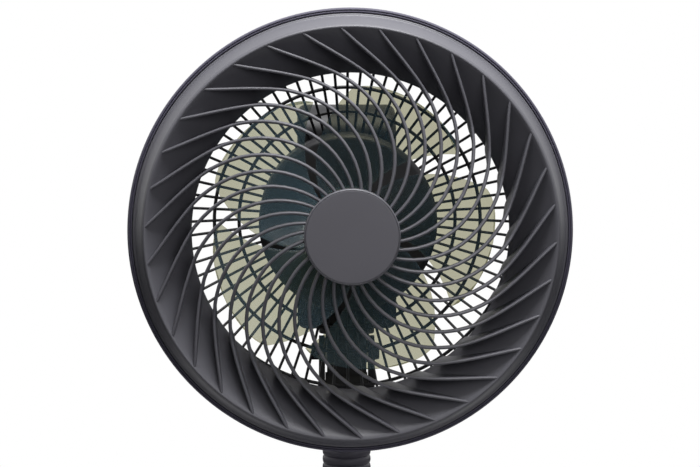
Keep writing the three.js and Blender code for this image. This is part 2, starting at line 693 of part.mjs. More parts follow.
function swingCrank() {
  const pin = rod(CRANK_PIN_RADIUS, LINK_TOP + OPEN_PIVOT_GAP, CRANK_BOTTOM + 1, FINE_PIN);
  return join(
    rod(CRANK_RADIUS, CRANK_BOTTOM, CRANK_TOP, MIDDLE).translate(0, CRANK_DISTANCE, 0),
    rod(CRANK_SHAFT_RADIUS, CRANK_TOP - 1, CRANK_TOP + CRANK_SHAFT_LENGTH, FINE_PIN)
      .translate(0, CRANK_DISTANCE, 0),
    pin.translate(crankPin.x, crankPin.y, 0),
  );
}

function swingMotor() {
  const can = rod(SWING_MOTOR_RADIUS, SWING_MOTOR_BOTTOM, SWING_MOTOR_TOP, MIDDLE);
  const boreTop = CRANK_TOP + CRANK_SHAFT_LENGTH + CLEARANCE;
  const bore = rod(CRANK_SHAFT_RADIUS + CLEARANCE, SWING_MOTOR_BOTTOM - 1, boreTop, FINE_PIN);
  return cut(can, bore).translate(0, CRANK_DISTANCE, 0);
}

// One bent carrier: a foot round the pivot, an upright behind the motor, a shelf above the crank.
function headCarrier() {
  const front = CARRIER_FRONT - PIVOT_DEPTH;
  const back = front + CARRIER_THICKNESS;
  const shelfBottom = SWING_MOTOR_TOP + CLEARANCE;
  const footBottom = BOSS_TOP - CARRIER_FOOT_THICKNESS;
  const top = HEAD_HEIGHT - CARRIER_TOP;
  const shelfEnd = CRANK_DISTANCE + SWING_MOTOR_RADIUS;
  const plate = (width, y0, y1, z0, z1) => box(
    width, y1 - y0, z1 - z0, 0, (y0 + y1) / 2, (z0 + z1) / 2,
  );
  const boreRadius = PIVOT_HOLE_RADIUS + PIVOT_BUSH_WALL + CLEARANCE;
  return cut(
    join(
      plate(CARRIER_WIDTH, front, back, footBottom, top),
      plate(CARRIER_FOOT_WIDTH, front, 0, footBottom, BOSS_TOP),
      plate(CARRIER_WIDTH, front, shelfEnd, shelfBottom, shelfBottom + CARRIER_THICKNESS),
      rod(SWING_BOSS_RADIUS, BOSS_BOTTOM, BOSS_TOP, SMALL),
    ),
    rod(boreRadius, BOSS_BOTTOM - 1, BOSS_TOP + 1, SMALL),
  );
}

function addSwingDrive() {
  addPiece(swing, 'head_carrier', headCarrier(), zincSheet);
  const bushOuter = PIVOT_HOLE_RADIUS + PIVOT_BUSH_WALL;
  addPiece(swing, 'pivot_bush', ring(bushOuter, PIVOT_HOLE_RADIUS, BOSS_BOTTOM, BOSS_TOP), bronze);
  const clipBottom = BOSS_TOP + CLEARANCE;
  const clip = ring(
    PIVOT_RADIUS + 3, CLIP_GROOVE_RADIUS + CLEARANCE, clipBottom, clipBottom + CLIP_THICKNESS,
  );
  addPiece(swing, 'pivot_clip', clip, steel);
  addPiece(swing, 'swing_motor', swingMotor(), zincSheet);
  addPiece(swing, 'swing_crank', swingCrank(), badgePlastic);
  const link = addPiece(swing, 'swing_link', swingLink(), steel);
  link.position.set(linkPost.x, linkPost.y, LINK_BOTTOM);
  link.rotation.z = Math.atan2(crankPin.y - linkPost.y, crankPin.x - linkPost.x);
}

addSwingDrive();

// Side view of the rear cover's tall spine, moved inward by inset. It overhangs the open front.
function coverSide(inset) {
  const mouth = COVER_FRONT - PIVOT_DEPTH;
  const front = mouth - 2 * COVER_EDGE;
  const back = mouth + COVER_DEPTH - inset;
  const bottom = TURNTABLE_TOP + CLEARANCE + inset;
  const top = HEAD_HEIGHT + COVER_TOP - inset;
  const shoulder = top - COVER_SLOPE;
  const heel = COVER_DEPTH / 3;
  const crown = COVER_DEPTH / 2;
  const shape = new THREE.Shape();
  shape.moveTo(front, bottom);
  shape.lineTo(back - heel, bottom);
  shape.bezierCurveTo(back - heel / 4, bottom, back, bottom + heel / 2, back, bottom + heel);
  shape.lineTo(back, HEAD_HEIGHT);
  shape.bezierCurveTo(back, top - crown, back - crown / 2, top, back - crown, top);
  shape.bezierCurveTo(
    mouth + crown / 2, top, mouth, shoulder + COVER_SLOPE / 2, mouth, shoulder,
  );
  shape.lineTo(front, shoulder - COVER_SLOPE / 2);
  shape.closePath();
  return shape;
}

function coverBody(inset) {
  const edge = COVER_EDGE - inset;
  const width = COVER_WIDTH - 2 * inset;
  const spine = new THREE.ExtrudeGeometry(coverSide(inset), {
    depth: width - 2 * edge,
    bevelEnabled: true,
    bevelSize: edge,
    bevelThickness: edge,
    bevelOffset: -edge,
    bevelSegments: 1,
    curveSegments: 3,
  });
  spine.rotateX(Math.PI / 2).rotateZ(Math.PI / 2).translate(-(width / 2 - edge), 0, 0);
  const radius = COVER_DRUM_RADIUS - inset;
  const depth = COVER_DRUM_DEPTH - inset;
  const drum = revolve([
    [0, 0], [radius, 0], [radius, depth - COVER_DRUM_EDGE], [radius - COVER_DRUM_EDGE, depth],
    [0, depth],
  ], WIDE);
  drum.rotateX(-Math.PI / 2).translate(0, COVER_FRONT - PIVOT_DEPTH, HEAD_HEIGHT);
  return join(spine, drum);
}

function rearCover() {
  const front = COVER_FRONT - PIVOT_DEPTH;
  const size = 4 * COVER_DRUM_RADIUS;
  const ahead = box(size, size, size, 0, front - size / 2, HEAD_HEIGHT);
  const mouthDrum = rod(COVER_DRUM_RADIUS - WALL, -1, 1, WIDE);
  mouthDrum.rotateX(-Math.PI / 2).translate(0, front, HEAD_HEIGHT);
  const back = front + COVER_DEPTH;
  const vents = steps(0, VENT_COUNT - 1, VENT_COUNT - 1).map((i) => {
    const height = HEAD_HEIGHT + (i - (VENT_COUNT - 1) / 2) * VENT_PITCH;
    return box(VENT_WIDTH, 6 * WALL, VENT_HEIGHT, 0, back, height);
  });
  return cut(
    coverBody(0),
    ahead,
    coverBody(WALL),
    mouthDrum,
    rod(COVER_MOUTH_RADIUS, TURNTABLE_TOP - 1, BOSS_TOP - WALL, MIDDLE),
    ...vents,
  );
}

addPiece(swing, 'rear_cover', rearCover(), blackPlastic);

// ---------------------------------------------------------------- head

// Inside this group +Z points forward along the blade axis, from the plane of the rim.
const head = new THREE.Group();
head.position.set(0, -PIVOT_DEPTH, HEAD_HEIGHT);
head.rotation.x = Math.PI / 2;
swing.add(head);

const radians = THREE.MathUtils.degToRad;

// Angle in degrees that the spiral has turned at a radius, counted from the hub.
function spiralAngle(radius) {
  const inner = (radius - HUB_RADIUS) / (THROAT_RADIUS - HUB_RADIUS);
  if (inner <= 1) return SPOKE_SWEEP * (0.77 * inner + 0.23 * Math.max(inner, 0) ** 2.5);
  const outer = (radius - THROAT_RADIUS) / (LIP_RADIUS - THROAT_RADIUS);
  return SPOKE_SWEEP + FIN_SWEEP * (1.4 * outer - 0.4 * outer ** 2);
}

// The funnel is a quarter ellipse. Here it is at a share of the way from its lip, where it faces
// forward, to its throat, for its face or for its back.
function funnelPlace(share, [throatRadius, lipRadius, lipForward]) {
  const angle = (share * Math.PI) / 2;
  return [
    throatRadius + (lipRadius - throatRadius) * (1 - Math.sin(angle)),
    lipForward - (lipForward - THROAT_FORWARD) * (1 - Math.cos(angle)),
  ];
}

function polar(radius, angle, z) {
  return [radius * Math.cos(angle), radius * Math.sin(angle), z];
}

// Angle from the middle of a fin to its side, where its width is taken square to its run.
function finSpread(radius, width) {
  const slope = radius * radians(spiralAngle(radius + 0.5) - spiralAngle(radius - 0.5));
  return ((width / 2) * Math.hypot(1, slope)) / radius;
}

function finCrest(radius) {
  const outer = (radius - THROAT_RADIUS) / FUNNEL_WIDTH;
  if (outer >= 0) return FIN_FORWARD + (LIP_FORWARD - FIN_FORWARD) * outer;
  const inner = (radius - HUB_RADIUS) / (THROAT_RADIUS - HUB_RADIUS);
  const start = HUB_FORWARD - SPOKE_HUB_DROP;
  return start - (start - FIN_FORWARD) * Math.max(inner, 0) ** 2;
}

// Bezel, funnel and fins are one grid of rows round the head. A row has the same few points for
// each fin, and rows further in are turned back along the spiral.
function finnedShell() {
  const points = [];
  const faces = [];
  const halfPitch = Math.PI / FIN_COUNT;
  const row = (radius, forward, turn, offsets) => {
    const first = points.length;
    copiesAround(FIN_COUNT, (angle) => offsets.forEach((offset) => {
      points.push(polar(radius, radians(FIN_PHASE + turn) + angle + offset, forward));
    }));
    return (fin, k) => first + (fin % FIN_COUNT) * offsets.length + k;
  };
  const eachFin = (make) => {
    for (let fin = 0; fin < FIN_COUNT; fin += 1) faces.push(...make(fin, fin + 1));
  };

  const face = [THROAT_RADIUS, LIP_RADIUS, LIP_FORWARD];
  const back = [THROAT_RADIUS + WALL, LIP_RADIUS - LIP_CHAMFER, LIP_FORWARD - WALL];
  const turnAt = (share) => spiralAngle(funnelPlace(share, face)[0]);
  const flangeFront = JOINT_GAP + FLANGE_THICKNESS;
  const bezel = [
    [BEZEL_RADIUS - WALL, JOINT_GAP], [FLANGE_RADIUS, JOINT_GAP], [FLANGE_RADIUS, flangeFront],
    [BEZEL_RADIUS, flangeFront], [LIP_OUTER_RADIUS, LIP_FORWARD - LIP_CHAMFER],
    [LIP_OUTER_RADIUS - LIP_CHAMFER, LIP_FORWARD],
  ];
  const plain = ([radius, forward], turn) => row(radius, forward, turn, [0, halfPitch]);
  const skin = [
    ...steps(1, 0, 2).map((share) => plain(funnelPlace(share, back), turnAt(share))),
    ...bezel.map((place) => plain(place, turnAt(0))),
  ];
  const section = (radius, rootForward, extra) => {
    const turn = spiralAngle(radius);
    const root = finSpread(radius, FIN_ROOT_WIDTH);
    const crest = finSpread(radius, FIN_CREST_WIDTH);
    return {
      root: row(radius, rootForward, turn, [-root, root, ...extra]),
      crest: row(radius, finCrest(radius), turn, [-crest, crest]),
    };
  };
  const webs = steps(0, 1, FIN_ROWS).map((share) => {
    const [radius, forward] = funnelPlace(share, face);
    return section(radius, forward, [halfPitch]);
  });
  webs[0].crest = webs[0].root;
  const throat = webs[FIN_ROWS];
  const spokes = steps(THROAT_RADIUS - WEB_LENGTH, HUB_RADIUS - WALL / 2, SPOKE_ROWS);
  const runs = [...webs, ...spokes.map((r) => section(r, finCrest(r) - SPOKE_DEPTH, []))];

  skin.slice(1).forEach((b, i) => eachFin((fin, next) => {
    const a = skin[i];
    return [
      [a(fin, 0), a(fin, 1), b(fin, 1), b(fin, 0)],
      [a(fin, 1), a(next, 0), b(next, 0), b(fin, 1)],
    ];
  }));
  const lip = skin[skin.length - 1];
  const inner = skin[0];
  eachFin((fin, next) => [
    [lip(fin, 0), webs[0].root(fin, 1), webs[0].root(fin, 0)],
    [lip(fin, 0), lip(fin, 1), webs[0].root(fin, 2), webs[0].root(fin, 1)],
    [lip(fin, 1), lip(next, 0), webs[0].root(next, 0), webs[0].root(fin, 2)],
    [throat.root(fin, 0), throat.root(fin, 1), inner(fin, 0)],
    [throat.root(fin, 1), throat.root(fin, 2), inner(fin, 1), inner(fin, 0)],
    [throat.root(fin, 2), throat.root(next, 0), inner(next, 0), inner(fin, 1)],
  ]);
  webs.slice(1).forEach(({ root: b }, i) => eachFin((fin, next) => {
    const a = webs[i].root;
    return [
      [a(fin, 1), a(fin, 2), b(fin, 2), b(fin, 1)],
      [a(fin, 2), a(next, 0), b(next, 0), b(fin, 2)],
    ];
  }));
  runs.slice(1).forEach((b, i) => eachFin((fin) => {
    const a = runs[i];
    const walls = [
      [a.root(fin, 0), a.crest(fin, 0), b.crest(fin, 0), b.root(fin, 0)],
      [a.crest(fin, 0), a.crest(fin, 1), b.crest(fin, 1), b.crest(fin, 0)],
      [a.crest(fin, 1), a.root(fin, 1), b.root(fin, 1), b.crest(fin, 1)],
    ];
    const underside = [a.root(fin, 1), a.root(fin, 0), b.root(fin, 0), b.root(fin, 1)];
    return i < FIN_ROWS ? walls : [...walls, underside];
  }));
  const end = runs[runs.length - 1];
  eachFin((fin) => [[end.root(fin, 0), end.crest(fin, 0), end.crest(fin, 1), end.root(fin, 1)]]);
  return faceted(points, faces);
}

function hubCup() {
  const back = HUB_FORWARD - HUB_DEPTH;
  const seat = BADGE_BACK - CLEARANCE;
  const recess = BADGE_RADIUS + CLEARANCE;
  return revolve([
    [0, seat - WALL], [HUB_RADIUS - WALL, seat - WALL], [HUB_RADIUS - WALL, back],
    [HUB_RADIUS, back], [HUB_RADIUS, HUB_FORWARD - HUB_CHAMFER],
    [HUB_RADIUS - HUB_CHAMFER, HUB_FORWARD],
    [recess, HUB_FORWARD], [recess, seat], [0, seat],
  ], FIN_COUNT);
}

function frontGuard() {
  return join(finnedShell(), hubCup());
}

function guardBand() {
  const front = JOINT_GAP + FLANGE_THICKNESS + CLEARANCE;
  const back = -JOINT_GAP - GUARD_THICKNESS - CLEARANCE;
  const mouth = BEZEL_RADIUS + BAND_GAP;
  const shoulder = RIM_RADIUS - BAND_CHAMFER;
  return revolve([
    [mouth, front], [CHANNEL_RADIUS, front], [CHANNEL_RADIUS, back], [mouth, back],
    [shoulder, back - BAND_LIP], [RIM_RADIUS, (front + back) / 2], [shoulder, front + BAND_LIP],
    [mouth, front + BAND_LIP], [mouth, front],
  ], 2 * FIN_COUNT);
}

// The rear guard is one lattice: triangular ribs that share their corners with the ring bands.
// A stop is a place along a rib, and a band is the solid ring from one stop to the next.
function guardStops() {
  const flangeInner = BEZEL_RADIUS - WALL;
  const place = ({ out, deep }) => [
    GUARD_SEAT_RADIUS + (flangeInner - GUARD_SEAT_RADIUS) * out, -GUARD_DEPTH * deep,
  ];
  const [sideR, sideZ] = place(GUARD_SIDE);
  const rings = GUARD_RINGS.flatMap((ring) => {
    const [r, z] = place(ring);
    const half = (ring.lean * GUARD_RING_WIDTH) / 2;
    const drop = (1 - ring.lean) * GUARD_RING_WIDTH;
    const back = { backR: r + drop, backZ: z - GUARD_THICKNESS };
    return [
      { r: r + half, z: z + drop / 2, band: true, ...back },
      { r: r - half, z: z - drop / 2, band: false, ...back },
    ];
  });
  const stops = [
    { r: FLANGE_RADIUS, z: -JOINT_GAP, band: true, flat: true },
    { r: flangeInner, z: -JOINT_GAP, band: false, flat: true },
    { r: sideR, z: sideZ, band: false },
    ...rings,
    { r: GUARD_SEAT_RADIUS, z: -GUARD_DEPTH, band: true, flat: true },
    { r: GUARD_SEAT_RADIUS - GUARD_SEAT_WIDTH, z: -GUARD_DEPTH, band: false, flat: true },
  ];
  return stops.map((stop, i) => {
    const before = stops[Math.max(i - 1, 0)];
    const after = stops[Math.min(i + 1, stops.length - 1)];
    const along = new THREE.Vector2(after.r - before.r, after.z - before.z).normalize();
    const [outR, outZ] = stop.flat ? [0, -1] : [-along.y, along.x];
    return {
      backR: stop.r + outR * GUARD_THICKNESS,
      backZ: stop.z + outZ * GUARD_THICKNESS,
      ...stop,
    };
  });
}

function rearGuard() {
  const stops = guardStops();
  const points = [];
  const corner = (stop, rib, k) => (stop * GUARD_RIB_COUNT + (rib % GUARD_RIB_COUNT)) * 3 + k;
  stops.forEach(({ r, z, backR, backZ }) => {
    copiesAround(GUARD_RIB_COUNT, (angle) => {
      const half = GUARD_RIB_WIDTH / 2 / r;
      points.push(polar(r, angle - half, z), polar(r, angle + half, z), polar(backR, angle, backZ));
    });
  });
  const faces = [];
  for (let rib = 0; rib < GUARD_RIB_COUNT; rib += 1) {
    stops.forEach(({ band }, stop) => {
      const [right, left, back] = [0, 1, 2].map((k) => corner(stop, rib, k));
      const [nextRight, nextBack] = [0, 2].map((k) => corner(stop, rib + 1, k));
      const first = stop === 0;
      const last = stop === stops.length - 1;
      const bandBefore = !first && stops[stop - 1].band;
      if (first) faces.push([right, left, back]);
      if (last) faces.push([left, right, back]);
      if (band && !bandBefore) faces.push([left, nextRight, nextBack, back]);
      if (!band && bandBefore) faces.push([nextRight, left, back, nextBack]);
      if (last) return;
      const [inRight, inLeft, inBack] = [0, 1, 2].map((k) => corner(stop + 1, rib, k));
      const [inNextRight, inNextBack] = [0, 2].map((k) => corner(stop + 1, rib + 1, k));
      faces.push([left, right, inRight, inLeft]);
      if (band) {
        faces.push([nextRight, left, inLeft, inNextRight], [back, nextBack, inNextBack, inBack]);
      } else {
        faces.push([right, back, inBack, inRight], [back, left, inLeft, inBack]);
      }
    });
  }
  return faceted(points, faces);
}

function addGuards() {
  addPiece(head, 'front_guard', frontGuard(), guardPlastic);
  const badge = revolve([
    [0, BADGE_BACK], [BADGE_RADIUS, BADGE_BACK], [BADGE_RADIUS, HUB_FORWARD - 0.6],
    [BADGE_RADIUS - 0.6, HUB_FORWARD], [0, HUB_FORWARD],
  ], FIN_COUNT);
  addPiece(head, 'hub_badge', badge, badgePlastic);
  addPiece(head, 'guard_band', guardBand(), rimPlastic);
  addPiece(head, 'rear_guard', rearGuard(), blackPlastic);
}

addGuards();

// ---------------------------------------------------------------- blade

// A point of the blade's middle surface: span 0 at the hub to 1 at the tip,
// chord 0 at the leading edge, which lies behind, to 1 at the trailing edge.
function bladePoint(span, chord) {
  const leading = THREE.MathUtils.lerp(BLADE_ROOT_ANGLES[0], BLADE_TIP_ANGLES[0], span);
  const trailing = THREE.MathUtils.lerp(BLADE_ROOT_ANGLES[1], BLADE_TIP_ANGLES[1], span);
  const corners = 1 - BLADE_TIP_ROUNDING * Math.abs(2 * chord - 1) ** 6;
  const tip = (BLADE_TIP_RADIUS - BLADE_TIP_DROP * (1 - chord) ** 2) * corners;
  const root = SPINNER_RADIUS - 1;
  const radius = root + (tip - root) * span;
  const angle = radians(leading + (trailing - leading) * chord);
  const camber = BLADE_CAMBER * Math.sin(Math.PI * chord) * span;
  const forward = BLADE_FORWARD - BLADE_DEPTH * (1 - chord) - camber;
  return new THREE.Vector3(radius * Math.cos(angle), radius * Math.sin(angle), forward);
}

function blade(phase) {
  const spanCount = 3;
  const chordCount = 4;
  const points = [];
  [1, -1].forEach((side) => {
    steps(0, 1, spanCount).forEach((span) => steps(0, 1, chordCount).forEach((chord) => {
      const alongSpan = bladePoint(span + 0.01, chord).sub(bladePoint(span - 0.01, chord));
      const alongChord = bladePoint(span, chord + 0.01).sub(bladePoint(span, chord - 0.01));
      const normal = alongSpan.cross(alongChord).normalize();
      const point = bladePoint(span, chord).addScaledVector(normal, (side * BLADE_THICKNESS) / 2);
      point.applyAxisAngle(new THREE.Vector3(0, 0, 1), phase);
      points.push(point.toArray());
    }));
  });
  const row = chordCount + 1;
  const back = row * (spanCount + 1);
  const faces = [];
  for (let i = 0; i < spanCount; i += 1) {
    for (let j = 0; j < chordCount; j += 1) {
      const a = i * row + j;
      const b = a + back;
      faces.push([a, a + row, a + row + 1, a + 1], [b + 1, b + row + 1, b + row, b]);
    }
  }
  const edge = (a, b) => faces.push([a, b, b + back, a + back]);
  for (let j = 0; j < chordCount; j += 1) {
    edge(j, j + 1);
    edge(spanCount * row + j + 1, spanCount * row + j);
  }
  for (let i = 0; i < spanCount; i += 1) {
    edge((i + 1) * row, i * row);
    edge(i * row + chordCount, (i + 1) * row + chordCount);
  }
  return faceted(points, faces);
}

// The spinner's hollow, from its open back to the boss round the shaft.
function spinnerHollow(end) {
  const inner = SPINNER_RADIUS - WALL;
  const ceiling = SPINNER_FRONT - WALL;
  return [
    [inner, end], [inner, ceiling - SPINNER_SHOULDER + WALL], [inner - SPINNER_BORDER, ceiling],
    [BLADE_NUT_RADIUS, ceiling], [BLADE_NUT_RADIUS, -SPINNER_BOSS_END],
  ];
}

function fanBlade() {
  const spinner = revolve([
    [SHAFT_HOLE_RADIUS, SPINNER_FRONT], [SPINNER_RADIUS - SPINNER_BORDER, SPINNER_FRONT],
    [SPINNER_RADIUS, SPINNER_FRONT - SPINNER_SHOULDER], [SPINNER_RADIUS, -SPINNER_BACK],
    ...spinnerHollow(-SPINNER_BACK),
    [SHAFT_HOLE_RADIUS, -SPINNER_BOSS_END], [SHAFT_HOLE_RADIUS, SPINNER_FRONT],
  ], MIDDLE);
  const end = -2 * SPINNER_BACK;
  const hollow = revolve([[0, end], ...spinnerHollow(end), [0, -SPINNER_BOSS_END]], MIDDLE);
  const slotWidth = 2 * (DRIVE_PIN_RADIUS + CLEARANCE);
  const slot = box(2 * DRIVE_PIN_LENGTH, slotWidth, slotWidth + 1, 0, 0, -PIN_DEPTH - 0.5);
  const blades = copiesAround(BLADE_COUNT, (angle) => cut(blade(angle), hollow));
  return cut(join(spinner, ...blades), slot);
}

function bladeNut() {
  const start = SPINNER_FRONT + CLEARANCE;
  const end = start + BLADE_NUT_LENGTH;
  return revolve([
    [SHAFT_HOLE_RADIUS, start], [BLADE_NUT_RADIUS, start], [BLADE_NUT_RADIUS, end - 4],
    [BLADE_NUT_RADIUS - 3, end], [0, end], [0, end - WALL], [SHAFT_HOLE_RADIUS, end - WALL],
    [SHAFT_HOLE_RADIUS, start],
  ], SMALL);
}

function motorShaft() {
  const end = SPINNER_FRONT + BLADE_NUT_LENGTH - WALL;
  const shaft = rod(SHAFT_RADIUS, -BRACKET_BACK + 1, end, SMALL);
  const hole = rod(
    DRIVE_PIN_RADIUS + CLEARANCE, -2 * SHAFT_RADIUS, 2 * SHAFT_RADIUS, FINE_PIN,
  );
  return cut(shaft, hole.rotateY(Math.PI / 2).translate(0, 0, -PIN_DEPTH));
}

function addBlade() {
  addPiece(head, 'fan_blade', fanBlade(), bladePlastic);
  addPiece(head, 'blade_nut', bladeNut(), blackPlastic);
  addPiece(head, 'motor_shaft', motorShaft(), steel);
  const pin = rod(DRIVE_PIN_RADIUS, -DRIVE_PIN_LENGTH / 2, DRIVE_PIN_LENGTH / 2, FINE_PIN);
  addPiece(head, 'drive_pin', pin.rotateY(Math.PI / 2), steel).position.z = -PIN_DEPTH;
  const rotor = ring(ROTOR_RADIUS, SHAFT_HOLE_RADIUS, -STATOR_BACK, -STATOR_FRONT, MIDDLE);
  addPiece(head, 'rotor', rotor, zincSheet);
}

addBlade();

// ---------------------------------------------------------------- motor

function motorFrontCover() {
  const front = -MOTOR_CUP_DEPTH;
  const nose = front + MOTOR_NECK_LENGTH;
  const radius = MOTOR_CUP_RADIUS;
  const hole = SHAFT_RADIUS + 1.5;
  const flange = GUARD_SEAT_RADIUS - GUARD_SEAT_WIDTH;
  return revolve([
    [hole, nose], [hole + WALL, nose], [MOTOR_NECK_RADIUS, front],
    [radius - MOTOR_CUP_CHAMFER, front], [radius, front - MOTOR_CUP_CHAMFER],
    [radius, -CUP_BACK], [flange, -CUP_BACK], [flange, -CUP_BACK + WALL],
    [radius - WALL, -CUP_BACK + WALL], [radius - WALL, front - WALL],
    [MOTOR_NECK_RADIUS - WALL, front - WALL],
    [hole, nose - WALL], [hole, nose],
  ], WIDE);
}

// A cup with a bush in its middle. Facing is +1 for the front one and -1 for the rear one.
function motorBracket(face, rim, facing) {
  const bossEnd = face - facing * (BUSH_LENGTH + 1);
  const boss = BUSH_RADIUS + CLEARANCE;
  return revolve([
    [boss, face], [BRACKET_RADIUS, face], [BRACKET_RADIUS, rim],
    [BRACKET_RADIUS - BRACKET_RIM, rim], [BRACKET_RADIUS - BRACKET_RIM, face - facing * WALL],
    [boss + WALL, face - facing * WALL], [boss + WALL, bossEnd], [boss, bossEnd], [boss, face],
  ], SMALL);
}

function statorCore() {
  const outline = roundedRectangle(STATOR_WIDTH, STATOR_WIDTH, STATOR_CORNER);
  const bore = rod(ROTOR_RADIUS + AIR_GAP, -1, STATOR_LENGTH + 1, MIDDLE);
  return cut(extrude(outline, STATOR_LENGTH, 3), bore).translate(0, 0, -STATOR_BACK);
}

function winding(nearCore, away) {
  const far = nearCore + away * WINDING_LENGTH;
  const [inner, outer] = [WINDING_INNER_RADIUS, WINDING_OUTER_RADIUS];
  return revolve([
    [inner, nearCore], [outer, nearCore], [outer, far - away * 2], [outer - 2, far],
    [inner + 2, far], [inner, far - away * 2], [inner, nearCore],
  ], SMALL);
}

function addMotor() {
  addPiece(head, 'motor_front_cover', motorFrontCover(), blackPlastic);
  const frontRim = -STATOR_FRONT + CLEARANCE;
  const backRim = -STATOR_BACK - CLEARANCE;
  addPiece(head, 'motor_bracket_front', motorBracket(-BRACKET_FRONT, frontRim, 1), zincSheet);
  addPiece(head, 'motor_bracket_rear', motorBracket(-BRACKET_BACK, backRim, -1), zincSheet);
  addPiece(head, 'stator_core', statorCore(), steel);
  addPiece(head, 'winding_front', winding(frontRim, 1), copper);
  addPiece(head, 'winding_rear', winding(backRim, -1), copper);
  const bush = (bottom) => ring(BUSH_RADIUS, SHAFT_HOLE_RADIUS, bottom, bottom + BUSH_LENGTH);
  addPiece(head, 'shaft_bush_front', bush(-BRACKET_FRONT - BUSH_LENGTH), bronze);
  addPiece(head, 'shaft_bush_rear', bush(-BRACKET_BACK), bronze);
}

addMotor();

export default fan;
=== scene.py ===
import math

import bmesh
import bpy
from mathutils import Matrix, Vector


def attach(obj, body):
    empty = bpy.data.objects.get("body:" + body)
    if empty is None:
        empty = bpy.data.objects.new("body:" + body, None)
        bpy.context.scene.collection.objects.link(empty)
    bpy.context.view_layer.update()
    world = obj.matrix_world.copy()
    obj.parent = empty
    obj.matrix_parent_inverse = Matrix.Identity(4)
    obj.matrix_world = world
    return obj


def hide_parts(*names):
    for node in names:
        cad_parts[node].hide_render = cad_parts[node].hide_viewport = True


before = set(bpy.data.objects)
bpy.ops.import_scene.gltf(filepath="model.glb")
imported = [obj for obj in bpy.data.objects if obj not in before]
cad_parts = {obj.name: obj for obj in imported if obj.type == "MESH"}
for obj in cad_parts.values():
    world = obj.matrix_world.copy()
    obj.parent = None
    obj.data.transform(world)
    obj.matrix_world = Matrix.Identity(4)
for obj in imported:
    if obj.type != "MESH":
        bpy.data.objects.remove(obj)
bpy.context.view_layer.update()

# ---------------------------------------------------------------- camera, light and floor
# The camera stands in front, a little above the hub and to its left, with a long lens. One wide
# softbox hangs over the fan and a weaker one stands behind the camera. The plain floor is pale
# grey under the fan and turns to the white of the background further out.

RIM_PLANE_Y = -0.1015
HUB_AXIS_Z = 0.330
CAMERA_DISTANCE = 1.8
CAMERA_LEFT = math.radians(1.35)
CAMERA_UP = math.radians(4.75)
LENS = 114.6
SENSOR_WIDTH = 36
AIM = Vector((-0.0005, RIM_PLANE_Y, HUB_AXIS_Z - 0.0017))

view_line = Vector((
    -math.sin(CAMERA_LEFT) * math.cos(CAMERA_UP),
    -math.cos(CAMERA_LEFT) * math.cos(CAMERA_UP),
    math.sin(CAMERA_UP),
))
camera = bpy.data.objects.new("camera", bpy.data.cameras.new("camera"))
bpy.context.scene.collection.objects.link(camera)
camera.data.lens = LENS
camera.data.sensor_width = SENSOR_WIDTH
camera.location = Vector((0, RIM_PLANE_Y, HUB_AXIS_Z)) + CAMERA_DISTANCE * view_line
camera.rotation_euler = (AIM - camera.location).to_track_quat("-Z", "Y").to_euler()
bpy.context.scene.camera = camera


def softbox(name, place, width, power):
    light = bpy.data.objects.new(name, bpy.data.lights.new(name, "AREA"))
    bpy.context.scene.collection.objects.link(light)
    light.data.size = width
    light.data.energy = power
    light.location = place
    aim = Vector((0, RIM_PLANE_Y, HUB_AXIS_Z)) - light.location
    light.rotation_euler = aim.to_track_quat("-Z", "Y").to_euler()


softbox("overhead_softbox", (0.12, -0.33, 1.75), 0.95, 46)
softbox("front_softbox", (0.6, -2.3, 1.0), 1.2, 12)

bpy.context.scene.view_settings.view_transform = "Standard"

SURROUND_LEVEL = 0.07

world = bpy.data.worlds.new("studio")
bpy.context.scene.world = world
world.use_nodes = True
world_nodes = world.node_tree.nodes
world_links = world.node_tree.links
background = world_nodes["Background"]
background.inputs["Color"].default_value = (1, 1, 1, 1)
rays = world_nodes.new("ShaderNodeLightPath")
seen = world_nodes.new("ShaderNodeMath")
seen.operation = "MAXIMUM"
world_links.new(rays.outputs["Is Camera Ray"], seen.inputs[0])
world_links.new(rays.outputs["Is Transmission Ray"], seen.inputs[1])
mirrored = world_nodes.new("ShaderNodeMath")
mirrored.operation = "MAXIMUM"
world_links.new(seen.outputs["Value"], mirrored.inputs[0])
world_links.new(rays.outputs["Is Glossy Ray"], mirrored.inputs[1])
level = world_nodes.new("ShaderNodeMapRange")
level.inputs["To Min"].default_value = SURROUND_LEVEL
level.inputs["To Max"].default_value = 1.0
world_links.new(mirrored.outputs["Value"], level.inputs["Value"])
world_links.new(level.outputs["Result"], background.inputs["Strength"])

FLOOR_RADIUS = 6
GREY_RADIUS = 0.57
GREY_CORE = 0.3
GREY_PAINT = 0.36
GREY_GLOW = 0.68

floor_material = bpy.data.materials.new("pale_floor")
floor_material.use_nodes = True
nodes = floor_material.node_tree.nodes
links = floor_material.node_tree.links
nodes.clear()
floor_place = nodes.new("ShaderNodeTexCoord")
floor_size = nodes.new("ShaderNodeMapping")
floor_size.inputs["Scale"].default_value = (1 / GREY_RADIUS,) * 3
links.new(floor_place.outputs["Object"], floor_size.inputs["Vector"])
nearness = nodes.new("ShaderNodeTexGradient")
nearness.gradient_type = "SPHERICAL"
links.new(floor_size.outputs["Vector"], nearness.inputs["Vector"])
paint_shade = nodes.new("ShaderNodeMapRange")
paint_shade.inputs["From Max"].default_value = GREY_CORE
paint_shade.inputs["To Max"].default_value = GREY_PAINT
links.new(nearness.outputs["Fac"], paint_shade.inputs["Value"])
paint = nodes.new("ShaderNodeBsdfDiffuse")
links.new(paint_shade.outputs["Result"], paint.inputs["Color"])
glow_level = nodes.new("ShaderNodeMapRange")
glow_level.inputs["From Max"].default_value = GREY_CORE
glow_level.inputs["To Min"].default_value = 1.0
glow_level.inputs["To Max"].default_value = GREY_GLOW
links.new(nearness.outputs["Fac"], glow_level.inputs["Value"])
floor_rays = nodes.new("ShaderNodeLightPath")
glow_seen = nodes.new("ShaderNodeMath")
glow_seen.operation = "MULTIPLY"
